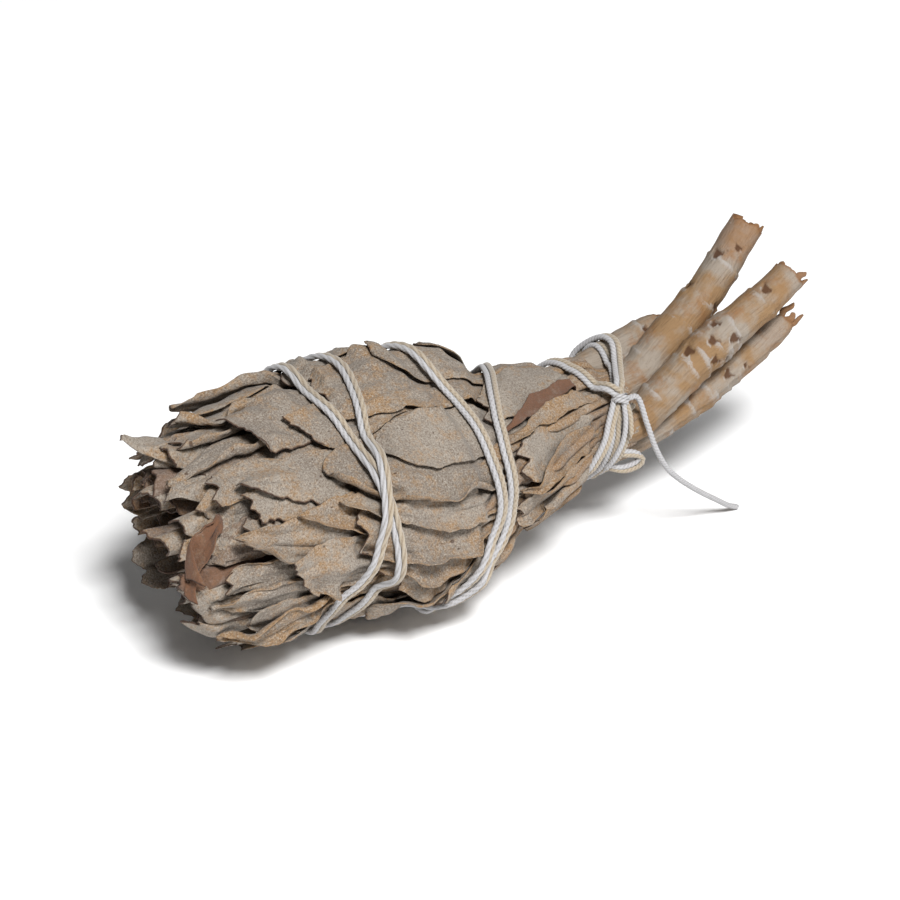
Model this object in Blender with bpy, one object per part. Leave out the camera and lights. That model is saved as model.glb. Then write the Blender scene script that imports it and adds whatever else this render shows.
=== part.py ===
# Sage bunch: four leafy shoots laid together, wound with twine and tied at the neck
# Lengths in the tables are millimetres and turns are degrees round the bunch:
# 0 is up, 90 faces -Y, 180 is down. X runs from the leaf tips to the cut stems.

import math

import bpy
import bmesh
import numpy as np
from mathutils import Quaternion, Vector

# Driving dimensions
mm = 0.001
clear = 0.35                # gap between a leaf and what it lies on
leaf_thick = 0.7
root_sunk = 1.6             # how far a leaf's root goes into its own shoot
twine_thick = 1.3
winding_width = 2.4         # two strands side by side
winding_gap = 0.35
floor_gap = 0.1             # least height of the twine over the surface
rest_x = (-8.0, 9.0)        # flat spot under the bunch
rest_half_y = 6.0
neck_end = 57.0             # X where the leaves end and only stems go on

# Girth and height of the bunch's middle line, along X
girth_x = (-57, -54, -50, -46, -40, -33, -25, -8, 3, 15, 23, 32, 43, 51, 62)
girth_r = (9.0, 12.5, 17.0, 20.5, 23.5, 25.0, 25.4, 26.4, 26.8, 24.4, 21.0, 17.0, 13.0, 11.8, 11.5)
middle_x = (-56, -40, -20, 0, 15, 25, 35, 52, 62, 75)
middle_z = (29.5, 29.0, 27.8, 27.3, 27.8, 28.3, 28.6, 28.9, 30.0, 33.5)

# Where one shoot ends and the next begins, round the bunch
first_turn = -17.0
shoot_spans = {
    "shoot_upper": (-17.0, 55.0),
    "shoot_middle": (55.0, 128.0),
    "shoot_lower": (128.0, 235.0),
    "shoot_short": (235.0, 343.0),
}

# Colours of the surfaces
leaf_grey = (0.40, 0.35, 0.29)
twine_white = (0.74, 0.71, 0.69)
twine_cream = (0.62, 0.47, 0.32)


def girth(x):
    return np.interp(x, girth_x, girth_r)


def middle(x):
    return np.interp(x, middle_x, middle_z)


def side_share(turn):
    # 1 where leaves lie deepest, on the side towards -Y and up, and 0 at the back and below
    return np.clip(0.5 + 0.9 * np.cos(np.radians(np.asarray(turn) - 50.0)), 0.0, 1.0)


def core_radius(x, turn):
    # radius of the packed inner leaves, flattened underneath
    stack = 2.5 + 2.1 * side_share(turn)
    stack = stack * np.interp(x, (28, 44), (1.0, 0.35))
    radius = girth(x) - stack
    down = -np.cos(np.radians(turn))
    lowest = middle(x) - 5.4 - 2.2 * np.exp(-((x + 16.5) / 6.0) ** 2)
    flat = np.where(down > 0.05, lowest / np.maximum(down, 0.05), 99.0)
    return np.minimum(radius, flat)


def place(x, turn, radius):
    # a point of the bunch from its X, turn and radius, in metres
    a = np.radians(turn)
    y = -radius * np.sin(a)
    z = middle(x) + radius * np.cos(a)
    return np.stack(np.broadcast_arrays(x, y, z), axis=-1) * mm


def unplace(points):
    # the X, turn and radius of points in metres
    x, y, z = np.moveaxis(points / mm, -1, 0)
    up = z - middle(x)
    return x, np.degrees(np.arctan2(-y, up)), np.hypot(y, up)


class Cover:
    # radius of the bunch's surface on a grid of X and turn, raised as leaves are laid on it
    step_x = 0.6
    step_turn = 1.5
    low_x = -64.0
    high_x = 72.0

    def __init__(self):
        self.xs = np.arange(self.low_x, self.high_x, self.step_x)
        self.turns = np.arange(0.0, 360.0, self.step_turn)
        grid_x, grid_turn = np.meshgrid(self.xs, self.turns, indexing="ij")
        self.core = core_radius(grid_x, grid_turn)
        self.core[self.xs > neck_end + 0.5] = 0.0
        self.height = self.core.copy()
        self.spread()

    def spread(self):
        wide = self.height.copy()
        for shift in (-1, 1):
            wide = np.maximum(wide, np.roll(self.height, shift, axis=1))
        full = wide.copy()
        for shift in (-1, 1):
            full = np.maximum(full, np.roll(wide, shift, axis=0))
        self.wide = full

    def cells(self, x, turn):
        i = np.clip(np.round((x - self.low_x) / self.step_x), 0, len(self.xs) - 1)
        j = np.round(np.asarray(turn) / self.step_turn) % len(self.turns)
        return i.astype(int), j.astype(int)

    def under(self, x, turn):
        return self.wide[self.cells(x, turn)]

    def bare(self, x, turn, half_turn):
        xs = np.arange(x - 5.5, x + 2.0, self.step_x)
        turns = np.arange(turn - half_turn, turn + half_turn + 1.0, self.step_turn)
        i, j = self.cells(*np.meshgrid(xs, turns, indexing="ij"))
        return np.all(self.height[i, j] <= self.core[i, j] + 0.01)

    def cover(self, points):
        x, turn, radius = unplace(points.reshape(-1, 3))
        np.maximum.at(self.height, self.cells(x, turn), radius)
        self.spread()


def shoot_of(turn):
    t = (turn - first_turn) % 360.0 + first_turn
    for name, (low, high) in shoot_spans.items():
        if low <= t < high:
            return name, t
    return "shoot_upper", t


def blade_width(u, tip):
    # share of a leaf's full width at u, from 0 at the tip to 1 at the root
    root = 1.0 - 0.72 * np.clip((u - 0.45) / 0.55, 0, 1) ** 1.5
    if tip == "round":
        front = np.sqrt(np.clip(1.0 - (1.0 - np.clip(u / 0.28, 0, 1)) ** 2, 0.12, 1))
    elif tip == "point":
        front = np.clip(0.12 + 0.88 * (u / 0.42) ** 0.8, 0, 1)
    else:
        front = np.clip(0.72 + 0.9 * u, 0, 1)
    return root * front


# How far back each of the five points of a torn tip stands
torn_steps = {
    "torn": (3.0, 0.4, 2.6, 0.0, 1.8),
    "ragged": (0.2, 2.8, 0.8, 3.4, 2.4),
    "slant": (0.0, 1.0, 3.0, 3.6, 6.0),
    "point": (0, 0, 0, 0, 0),
    "round": (0, 0, 0, 0, 0),
}


def grid_triangles(rows, columns):
    faces = []
    for i in range(rows - 1):
        for j in range(columns - 1):
            a = i * columns + j
            b = a + 1
            c = a + columns
            d = c + 1
            if (i + j) % 2:
                faces += [(a, c, b), (b, c, d)]
            else:
                faces += [(a, c, d), (a, d, b)]
    return faces


def rim_of(rows, columns):
    top = [j for j in range(columns)]
    right = [i * columns + columns - 1 for i in range(1, rows)]
    bottom = [(rows - 1) * columns + j for j in range(columns - 2, -1, -1)]
    left = [i * columns for i in range(rows - 2, 0, -1)]
    return top + right + bottom + left


def closed_sheet(outer, inner, rows, columns):
    # points and faces of a thin closed blade between two alike grids
    count = rows * columns
    sheet = grid_triangles(rows, columns)
    faces = list(sheet)
    faces += [(c + count, b + count, a + count) for a, b, c in sheet]
    rim = rim_of(rows, columns)
    for p, q in zip(rim, rim[1:] + rim[:1]):
        faces += [(p, q, q + count), (p, q + count, p + count)]
    points = np.vstack([outer.reshape(-1, 3), inner.reshape(-1, 3)])
    return points, faces


def make_object(name, points, faces, material=None):
    mesh = bpy.data.meshes.new(name)
    mesh.from_pydata([tuple(p) for p in points], [], faces)
    work = bmesh.new()
    work.from_mesh(mesh)
    bmesh.ops.recalc_face_normals(work, faces=work.faces)
    work.to_mesh(mesh)
    work.free()
    made = bpy.data.objects.new(name, mesh)
    bpy.context.scene.collection.objects.link(made)
    if material:
        mesh.materials.append(material)
    return made


def triangle_samples(points, triangles, count):
    # evenly spread points of each triangle, count steps along each side
    weights = []
    for i in range(count + 1):
        for j in range(count + 1 - i):
            weights.append((i, j, count - i - j))
    weights = np.array(weights) / count
    corners = points[np.array(triangles)]
    return np.einsum("sk,tkd->tsd", weights, corners), weights


def lay_leaf(cover, leaf):
    # drape one leaf over what is there already, its root sunk into its own shoot
    tip_x, tip_turn, root_x, root_turn, width, tip, flare = leaf[:7]
    columns = 5 if len(leaf) > 7 or width > 8 and -50.0 < root_turn < 126.0 else 4
    shoot, root_turn = shoot_of(root_turn)
    tip_turn = root_turn + (tip_turn - root_turn + 180.0) % 360.0 - 180.0
    root_half = 0.5 * width * 0.28
    for slide in range(14):
        radius = float(core_radius(root_x, root_turn))
        half_turn = math.degrees((root_half + 1.0) / radius)
        low, high = shoot_spans[shoot]
        root_turn = min(max(root_turn, low + half_turn), high - half_turn)
        if cover.bare(root_x, root_turn, half_turn):
            break
        root_x += 1.0
    length = math.hypot(root_x - tip_x, math.radians(root_turn - tip_turn) * 24.0)
    shares = [0.0, 0.1, 0.32, 0.64, 1.0 - 4.0 / length, 1.0]
    if length < 26 or columns < 5:
        shares = [0.0, 0.16, 0.5, 1.0 - 4.0 / length, 1.0]
    if len(leaf) > 7:
        shares = leaf[7]
    rows = len(shares)
    u = np.array(shares)[:, None]
    v = np.linspace(-1.0, 1.0, columns)[None, :]
    steps = np.interp(v, np.linspace(-1, 1, 5), torn_steps[tip])
    scale = min(1.0, width / 12.0)
    x = tip_x + (root_x - tip_x) * u + steps * scale * np.clip(1.0 - u / 0.3, 0, 1)
    around = math.degrees(1.0) / np.maximum(girth(x), 8.0)
    half = 0.5 * width * blade_width(u, tip)
    turn = tip_turn + (root_turn - tip_turn) * u + v * half * around
    x = x + 0.0 * v
    lift = flare * np.clip(1.0 - u / 0.35, 0, 1) ** 2 + 0.25 * np.abs(v) ** 3
    base = cover.under(x, turn) + clear
    radius = base + lift
    root_row = core_radius(x[-1], turn[-1]) - root_sunk
    triangles = [t for t in grid_triangles(rows, columns) if max(t) < (rows - 1) * columns]
    radius[-1] = root_row
    for _ in range(12):
        points = place(x, turn, radius).reshape(-1, 3)
        samples, weights = triangle_samples(points, triangles, 9)
        sx, sturn, sradius = unplace(samples)
        short = cover.under(sx, sturn) + clear - sradius
        raise_by = np.zeros(rows * columns)
        for triangle, worst, needs in zip(triangles, short.argmax(axis=1), short):
            if needs[worst] > 0.01:
                share = weights[worst] * needs[worst] / (weights[worst] ** 2).sum()
                for corner, amount in zip(triangle, share):
                    raise_by[corner] = max(raise_by[corner], amount)
        raise_by[-columns:] = 0.0
        radius += raise_by.reshape(rows, columns)
        if raise_by.max() == 0.0:
            break
    outer_radius = radius + leaf_thick
    outer = place(x, turn, outer_radius)
    if len(leaf) > 7:
        outer = flatten_rest(outer)
    inner = place(x, turn, radius)
    samples, _weights = triangle_samples(outer.reshape(-1, 3), grid_triangles(rows, columns), 22)
    cover.cover(samples)
    return shoot, closed_sheet(outer, inner, rows, columns)


def flatten_rest(outer):
    # the leaf that the bunch lies on is pressed flat at the surface
    flat = outer.copy()
    x, y, z = np.moveaxis(flat, -1, 0)
    inside = (x > rest_x[0] * mm) & (x < rest_x[1] * mm) & (np.abs(y) < rest_half_y * mm)
    z[inside] = 0.0
    return flat


# Leaves seen from the -Y side: tip X, tip turn, root X, root turn, width, tip, flare at the tip
seen_leaves = (
    (-9, 38, 27, 41, 13, "round", 1.0),
    (-13, 2, 32, 12, 19, "torn", 0.7),
    (-15, -28, 20, -20, 14, "torn", 0.8),
    (-20, 58, 36, 52, 15, "round", 0.4),
    (-20, 79, 24, 84, 13, "point", 0.4),
    (-16, 94, 20, 98, 9, "torn", 0.3),
    (-11, 106, 15, 106, 10, "ragged", 0.4),
    (-2, 119, 22, 116, 11, "torn", 0.3),
    (-40.5, 38, -2, 45, 14, "point", 1.4),
    (-25, 20, 3, 16, 11, "slant", 0.8),
    (-37, 12, -6, 5, 13, "slant", 0.8),
    (-41, 50, -16, 50, 9, "ragged", 0.6),
    (-44, 63, -20, 66, 9, "torn", 0.5),
    (-29, 61, 4, 64, 11, "slant", 0.6),
    (-42, 79, -10, 80, 14, "round", 0.5),
    (-34, 86, -2, 94, 13, "slant", 0.6),
    (-50, 99, -20, 102, 11, "point", 0.5),
    (-44, 116, -8, 113, 13, "round", 0.4),
    (-37, -40, -2, -34, 16, "point", 2.0),
    (-42, -22, -12, -14, 12, "torn", 1.4),
    (-50, 14, -22, 12, 9, "point", 1.0),
    (-48, 34, -24, 34, 11, "torn", 0.6),
    (-53, 78, -28, 78, 13, "round", 0.6),
    (21, 45, 46, 26, 5.5, "point", 0.2),
    (18, 66, 44, 62, 10, "torn", 0.3),
    (20, 88, 40, 84, 9, "point", 0.2),
    (20, 22, 44, 14, 9, "torn", 0.3),
    (24, 116, 42, 110, 9, "torn", 0.2),
    (31, 97, 47, 80, 5.5, "point", 0.2),
)

# Leaves laid by rule where the photo doesn't look: tip X, root X, first and last turn, number, width
hidden_rings = (
    (-50, -22, 128, 306, 6, 13),
    (-37, -6, 134, 322, 6, 17),
    (-21, 12, 220, 316, 4, 17),
    (-3, 27, 226, 326, 4, 16),
    (-12, 22, 140, 146, 1, 17),
    (15, 42, 140, 332, 5, 12),
)
# The leaf that the bunch lies on, with the share of its length at each row of its points
rest_leaf = (-9.5, 180, 27, 180, 17, "round", 0.0, (0.0, 0.07, 0.27, 0.49, 0.86, 1.0))


def all_leaves():
    draw = np.random.default_rng(11)
    leaves = list(seen_leaves)
    for tip_x, root_x, low, high, count, width in hidden_rings:
        for turn in np.linspace(low, high, count):
            shift = draw.uniform(-2.0, 2.0)
            swing = draw.uniform(-7.0, 7.0)
            tip = ("point", "torn", "round", "slant")[draw.integers(4)]
            flare = draw.uniform(0.3, 1.2) if not 140 < turn < 220 else 0.0
            leaves.append((tip_x + shift, turn + swing, root_x + shift, turn, width, tip, flare))
    leaves.append(rest_leaf)
    return sorted(leaves, key=lambda leaf: leaf[2])


# Stems: the X, Y, Z of each one's middle line and its radius there
stems = {
    "shoot_upper": (
        (24, -3.5, 36.0, 2.2), (33, -1.8, 33.6, 2.4), (42, -0.4, 31.3, 2.9), (52, 0.2, 31.0, 3.3),
        (61.5, 0.3, 33.2, 3.5), (68.6, 0.9, 38.0, 3.5), (75.2, 1.7, 42.3, 3.4), (80.8, 2.6, 46.2, 3.5),
        (85.5, 3.3, 50.6, 3.7), (92.0, 4.8, 57.0, 3.5),
    ),
    "shoot_middle": (
        (24, -9.0, 27.5, 2.4), (36, -8.0, 27.0, 2.8), (46, -7.6, 26.8, 3.2), (56, -7.6, 28.0, 3.5),
        (62, -7.5, 31.4, 3.6), (70, -7.4, 36.9, 3.5), (78.5, -7.2, 41.5, 3.6), (84.5, -7.0, 44.3, 4.1),
        (89.7, -6.8, 46.6, 3.7), (97.0, -6.3, 51.0, 3.6),
    ),
    "shoot_lower": (
        (26, -2.5, 18.5, 2.4), (40, -2.8, 19.8, 2.8), (52, -3.2, 20.4, 3.1), (61, -3.5, 22.2, 3.3),
        (70, -3.5, 25.0, 3.3), (79.9, -3.5, 28.9, 3.2), (88, -3.3, 32.0, 3.4), (98, -3.0, 36.0, 2.9),
    ),
    "shoot_short": (
        (28, 7.5, 32.0, 2.2), (40, 6.6, 34.4, 2.3), (50, 5.8, 36.4, 2.5), (57.4, 6.2, 38.2, 2.8),
        (65, 7.4, 39.8, 2.9), (74.5, 8.5, 41.4, 2.8),
    ),
}
stem_sides = 9
# Splinters of each broken end: turn round the stem, length, width
splinters = {
    "shoot_upper": ((40, 4.0, 2.2), (190, 2.6, 2.6), (300, 5.2, 1.8)),
    "shoot_middle": ((20, 3.2, 2.6), (130, 5.0, 2.0), (250, 3.4, 2.4)),
    "shoot_lower": ((60, 8.5, 1.9), (215, 6.5, 1.9), (330, 3.0, 2.2)),
    "shoot_short": ((90, 2.6, 2.2), (270, 3.8, 2.0)),
}


def smooth_line(points, step):
    # even points on a smooth curve through the given ones
    p = np.array(points, float)
    ends = np.vstack([2 * p[0] - p[1], p, 2 * p[-1] - p[-2]])
    fine = []
    for k in range(len(p) - 1):
        a, b, c, d = ends[k:k + 4]
        for t in np.arange(0.0, 1.0, 0.05):
            first = 2 * b + (c - a) * t + (2 * a - 5 * b + 4 * c - d) * t ** 2
            fine.append(0.5 * (first + (3 * b - a - 3 * c + d) * t ** 3))
    fine = np.array(fine + [p[-1]])
    far = np.concatenate([[0.0], np.cumsum(np.linalg.norm(np.diff(fine[:, :3], axis=0), axis=1))])
    count = max(2, int(round(far[-1] / step)) + 1)
    even = np.linspace(0.0, far[-1], count)
    return np.stack([np.interp(even, far, fine[:, k]) for k in range(fine.shape[1])], axis=1)


def tube_mesh(rings):
    # closed mesh through rings of points, each with the same count
    count = len(rings[0])
    points = np.vstack(rings + [[rings[0].mean(axis=0)], [rings[-1].mean(axis=0)]])
    first = len(rings) * count
    faces = []
    for i in range(len(rings) - 1):
        for j in range(count):
            a = i * count + j
            b = i * count + (j + 1) % count
            faces += [(a, b, b + count), (a, b + count, a + count)]
    for j in range(count):
        k = (j + 1) % count
        faces.append((first, k, j))
        faces.append((first + 1, first - count + j, first - count + k))
    return points, faces


def frame_along(line, up):
    # for each point of a line, the two directions across it
    ahead = np.gradient(line, axis=0)
    ahead /= np.linalg.norm(ahead, axis=1, keepdims=True)
    side = np.cross(ahead, up)
    side /= np.linalg.norm(side, axis=1, keepdims=True)
    return ahead, side, np.cross(side, ahead)


def stem_meshes(shoot):
    draw = np.random.default_rng(list(stems).index(shoot) + 3)
    line = smooth_line(stems[shoot], 6.0)
    ahead, side, over = frame_along(line[:, :3], np.array([0.0, 0.0, 1.0]))
    angles = np.linspace(0, 2 * math.pi, stem_sides, endpoint=False)
    rings = []
    last = len(line) - 1
    for k, (x, y, z, radius) in enumerate(line):
        rough = 1.0 + 0.05 * draw.standard_normal(stem_sides)
        across = np.outer(np.cos(angles) * rough, side[k]) + np.outer(np.sin(angles) * rough, over[k])
        ring = line[k, :3] + radius * across
        if k == last:
            ring = ring + np.outer(draw.uniform(-1.6, 0.6, stem_sides), ahead[k])
        rings.append(ring * mm)
    made = [tube_mesh(rings)]
    for turn, length, width in splinters[shoot]:
        a = math.radians(turn)
        out = math.cos(a) * side[last] + math.sin(a) * over[last]
        across = np.cross(ahead[last], out)
        foot = line[last, :3] + out * (line[last, 3] - 0.9) - ahead[last] * 2.5
        tip = foot + ahead[last] * (2.5 + length) + out * 0.7
        quads = []
        for centre, half in ((foot, 0.5 * width), (0.5 * (foot + tip), 0.42 * width), (tip, 0.2)):
            corners = [across * half, out * 0.55, -across * half, -out * 0.55]
            quads.append(np.array([(centre + c) * mm for c in corners]))
        made.append(tube_mesh(quads))
    return made


def core_mesh(shoot):
    # packed inner leaves of one shoot: a wedge of the bunch, hollow round the stems at the neck
    low, high = shoot_spans[shoot]
    stations = (-36, -33, -28, -20, -10, 0, 8, 16, 24, 31, 38, 44, 50, neck_end)
    shares = (0.45, 0.78, 0.95) + (1.0,) * 11
    inside = np.interp(stations, (30, 38), (1.2, 6.6))
    rings = []
    for x, share, bore in zip(stations, shares, inside):
        ends = []
        reach = 0.28
        for radius, steps in ((bore, 3), (None, 8)):
            around = radius if radius else float(core_radius(x, 0.5 * (low + high))) * share
            trim = math.degrees(math.asin(min(0.9, reach / around)))
            turns = np.linspace(low + trim, high - trim, steps)
            if radius:
                ends.append(place(x, turns, radius))
            else:
                ends.append(place(x, turns[::-1], core_radius(x, turns[::-1]) * share))
        rings.append(np.vstack(ends))
    return tube_mesh_flat(rings)


def tube_mesh_flat(rings):
    # as tube_mesh, with flat many-sided ends
    count = len(rings[0])
    points = np.vstack(rings)
    faces = []
    for i in range(len(rings) - 1):
        for j in range(count):
            a = i * count + j
            b = i * count + (j + 1) % count
            faces += [(a, b, b + count), (a, b + count, a + count)]
    faces.append(tuple(range(count)))
    faces.append(tuple(range(len(points) - 1, len(points) - count - 1, -1)))
    return points, faces


# Curled inner leaves of the head: radius at the root, number, tip X, width
head_rings = ((5.0, 4, -51.5, 7.5), (10.5, 8, -50.0, 8.0), (16.0, 12, -46.0, 8.0), (19.0, 12, -42.0, 8.0))
head_root_x = -31.0


def head_limit(x):
    # radius that the curled inner leaves stay under
    return np.maximum(girth(x) - 5.4, 4.0)


def head_blades(shoot):
    low, high = shoot_spans[shoot]
    draw = np.random.default_rng(40 + list(shoot_spans).index(shoot))
    rows = 4
    columns = 4
    made = []
    for root_radius, count, tip_x, width in head_rings:
        own = max(1, round(count * (high - low) / 360.0))
        for k in range(own):
            turn = low + (high - low) * (k + 0.5) / own + draw.uniform(-4, 4)
            end_x = tip_x + draw.uniform(-2.5, 3.5)
            bow = draw.uniform(1.2, 3.0) * draw.choice((-1, 1))
            u = np.array([0.0, 0.22, 0.6, 1.0])[:, None]
            v = np.linspace(-1, 1, columns)[None, :]
            x = end_x + (head_root_x - end_x) * u + draw.uniform(-1, 1) * (1 - u) * v * 1.5
            half = 0.5 * width * np.interp(u, (0, 0.3, 1), (0.45, 1.0, 0.7))
            radius = root_radius + bow * (v * v - 0.4) * (1 - 0.6 * u) + draw.uniform(-1.0, 1.5) * (1 - u)
            radius = np.minimum(radius, head_limit(x) - 0.8 * v * v)
            radius = np.maximum(radius, 1.9)
            around = math.degrees(1.0) / np.maximum(radius, 3.0)
            wanted = turn + v * half * around
            trim = np.degrees(np.arcsin(np.minimum(0.9, 0.3 / (radius - leaf_thick))))
            centre = 0.5 * (low + high)
            room = 0.5 * (high - low) - trim
            bent = room * np.tanh((wanted - centre) / room * 1.02)
            near = np.abs(wanted - centre) < 0.6 * room
            turns = centre + np.where(near, np.clip(wanted - centre, -room, room), bent)
            outer = place(x, turns, radius)
            inner = place(x, turns, radius - leaf_thick)
            made.append(closed_sheet(outer, inner, rows, columns))
    return made


# Winding: X and turn of the doubled strand, from the knot round the neck, over the bunch and back
winding_route = (
    (52.5, 60), (50, 150), (54, 240), (57, 335), (53.5, 395), (50, 425), (47, 500), (49, 600),
    (58, 690), (56, 732), (50.5, 770), (46, 800), (42, 830), (38, 880), (34, 960), (29, 1050),
    (26, 1080), (22, 1112), (18.5, 1136), (15.5, 1165), (9, 1187), (2, 1203), (-9, 1226), (-17, 1250),
    (-21, 1290), (-20.5, 1340), (-17.5, 1385), (-15.5, 1410), (-16, 1440), (-14.5, 1457), (-12.5, 1480), (-13, 1498),
    (-14.5, 1506), (-16.5, 1524), (-19, 1537), (-24, 1549), (-27, 1580), (-25, 1640), (-15, 1710),
    (-6, 1760), (-4.5, 1785), (-5.5, 1805), (-8.5, 1822), (-11, 1847), (-12, 1860), (-12.5, 1886),
    (-14, 1903), (-15.5, 1915), (-17, 1942), (-14.5, 1980), (-8, 2035), (3, 2100), (9, 2135),
    (10, 2155), (11.5, 2190), (12, 2217), (14.5, 2231), (17, 2250), (22, 2280), (30, 2340),
    (38, 2410), (43, 2470), (45.5, 2510), (47.5, 2550), (51, 2558),
)


def winding_line(cover):
    # the strand's middle line, laid on the leaves and over its own earlier turns
    route = np.array(winding_route, float)
    scaled = np.stack([route[:, 0], np.radians(route[:, 1]) * 20.0, 0 * route[:, 0]], axis=1)
    fine = smooth_line(scaled, 1.0)
    fine_turn = np.degrees(fine[:, 1] / 20.0)
    probe = [cover.under(fine[:, 0] + shift, fine_turn) for shift in np.linspace(-1.5, 1.5, 5)]
    highest = np.max(probe, axis=0)
    for reach in range(4):
        highest = np.maximum(highest, np.maximum(np.roll(highest, 1), np.roll(highest, -1)))
    x = fine[::5, 0]
    turn = fine_turn[::5]
    radius = highest[::5] + winding_gap + 0.5 * twine_thick
    for later in range(len(x)):
        for earlier in range(later - 5):
            apart = (turn[later] - turn[earlier]) % 360.0
            apart = min(apart, 360.0 - apart)
            near = math.hypot(x[later] - x[earlier], math.radians(apart) * radius[later])
            if near < winding_width + 0.9:
                radius[later] = max(radius[later], radius[earlier] + twine_thick + winding_gap)
    for _ in range(2):
        wide = np.maximum(radius, 0.5 * (np.roll(radius, 1) + np.roll(radius, -1)))
        wide[0] = radius[0]
        wide[-1] = radius[-1]
        radius = wide
    down = np.maximum(-np.cos(np.radians(turn)), 0.05)
    return x, turn, np.minimum(radius, (middle(x) - floor_gap - 0.6 * twine_thick) / down)


def winding_mesh(cover):
    x, turn, radius = winding_line(cover)
    line = place(x, turn, radius) / mm
    outward = place(x, turn, radius + 1.0) / mm - line
    ahead, side, over = frame_along(line, outward)
    rings = []
    angles = np.linspace(0, 2 * math.pi, 6, endpoint=False)
    for k in range(len(line)):
        flat = np.outer(np.cos(angles) * 0.5 * winding_width, side[k])
        rings.append((line[k] + flat + np.outer(np.sin(angles) * 0.5 * twine_thick / 0.87, over[k])) * mm)
    return tube_mesh(rings), line


def keep_largest(mesh):
    # fill hollows that the union sealed and drop loose scraps
    work = bmesh.new()
    work.from_mesh(mesh)
    left = set(work.verts)
    bodies = []
    while left:
        start = left.pop()
        body = {start}
        reach = [start]
        while reach:
            here = reach.pop()
            for edge in here.link_edges:
                there = edge.other_vert(here)
                if there in left:
                    left.remove(there)
                    body.add(there)
                    reach.append(there)
        bodies.append(body)
    bodies.sort(key=len)
    for body in bodies[:-1]:
        bmesh.ops.delete(work, geom=list(body), context="VERTS")
    work.to_mesh(mesh)
    work.free()


def join(name, base, others, material):
    # one closed body from a base and everything that grows from it
    made = make_object(name, *base, material)
    group = bpy.data.collections.new(name + "_pieces")
    for k, piece in enumerate(others):
        other = make_object(f"{name}_{k}", *piece)
        bpy.context.scene.collection.objects.unlink(other)
        group.objects.link(other)
    bpy.context.scene.collection.children.link(group)
    union = made.modifiers.new("grown_together", "BOOLEAN")
    union.operation = "UNION"
    union.operand_type = "COLLECTION"
    union.collection = group
    union.solver = "EXACT"
    union.use_self = True
    ready = made.evaluated_get(bpy.context.evaluated_depsgraph_get())
    joined = bpy.data.meshes.new_from_object(ready)
    made.modifiers.clear()
    keep_largest(joined)
    made.data = joined
    for other in list(group.objects):
        bpy.data.objects.remove(other)
    bpy.data.collections.remove(group)
    return made


def plain_material(name, colour, roughness):
    material = bpy.data.materials.new(name)
    material.use_nodes = True
    shader = material.node_tree.nodes["Principled BSDF"]
    shader.inputs["Base Color"].default_value = (*colour, 1.0)
    shader.inputs["Roughness"].default_value = roughness
    shader.inputs["Metallic"].default_value = 0.0
    return material


# Free end of the twine, from beside the knot down to the surface
tail_route = (
    (54.6, -11.6, 36.4), (55.8, -13.2, 31), (57.5, -14.2, 25), (60.5, -14.0, 19.5), (64, -13.4, 15.5),
    (68, -12.6, 11.8), (72, -11.6, 8.4), (76, -10.6, 5.2), (79.5, -9.8, 2.4), (82.4, -9.2, 0.75),
)


def make_tail(material):
    line = smooth_line(tail_route, 3.0) * mm
    curve = bpy.data.curves.new("twine_tail", "CURVE")
    curve.dimensions = "3D"
    curve.bevel_depth = 0.5 * twine_thick * mm
    curve.bevel_resolution = 2
    curve.use_fill_caps = True
    spline = curve.splines.new("POLY")
    spline.points.add(len(line) - 1)
    for point, place_at in zip(spline.points, line):
        point.co = (*place_at, 1.0)
    tail = bpy.data.objects.new("twine_tail", curve)
    curve.materials.append(material)
    bpy.context.scene.collection.objects.link(tail)
    return tail


def knot_meshes(centre, outward):
    # two short loops drawn tight over the strands
    made = []
    for tilt, reach, thick in ((0.4, 1.5, 0.85), (1.9, 1.25, 0.8)):
        side = outward.orthogonal().normalized()
        side.rotate(Quaternion(outward, tilt))
        rings = []
        for a in np.linspace(-1.7, 1.7, 7):
            out = side * math.sin(a) + outward * math.cos(a)
            over = side.cross(outward)
            ring = []
            for b in np.linspace(0, 2 * math.pi, 6, endpoint=False):
                across = out * math.cos(b) + over * math.sin(b)
                ring.append((centre + out * reach + across * thick) * mm)
            rings.append(np.array(ring))
        made.append(tube_mesh(rings))
    return made


def main():
    for old in list(bpy.data.objects):
        bpy.data.objects.remove(old)
    leaf_material = plain_material("sage_leaf", leaf_grey, 0.9)
    white = plain_material("twine_white", twine_white, 0.85)
    cream = plain_material("twine_cream", twine_cream, 0.85)
    cover = Cover()
    pieces = {name: [] for name in shoot_spans}
    for leaf in all_leaves():
        shoot, sheet = lay_leaf(cover, leaf)
        pieces[shoot].append(sheet)
    for shoot in shoot_spans:
        stem = stem_meshes(shoot)
        for points, _faces in stem:
            inside = points[points[:, 0] < 66 * mm]
            if len(inside):
                cover.cover(inside)
        pieces[shoot] += stem + head_blades(shoot)
        join(shoot, core_mesh(shoot), pieces[shoot], leaf_material)
    winding, line = winding_mesh(cover)
    outward = Vector((0.0, -math.sin(math.radians(60)), math.cos(math.radians(60))))
    join("twine_winding", winding, knot_meshes(Vector(line[1]), outward), white)
    make_tail(cream)


main()
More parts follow.
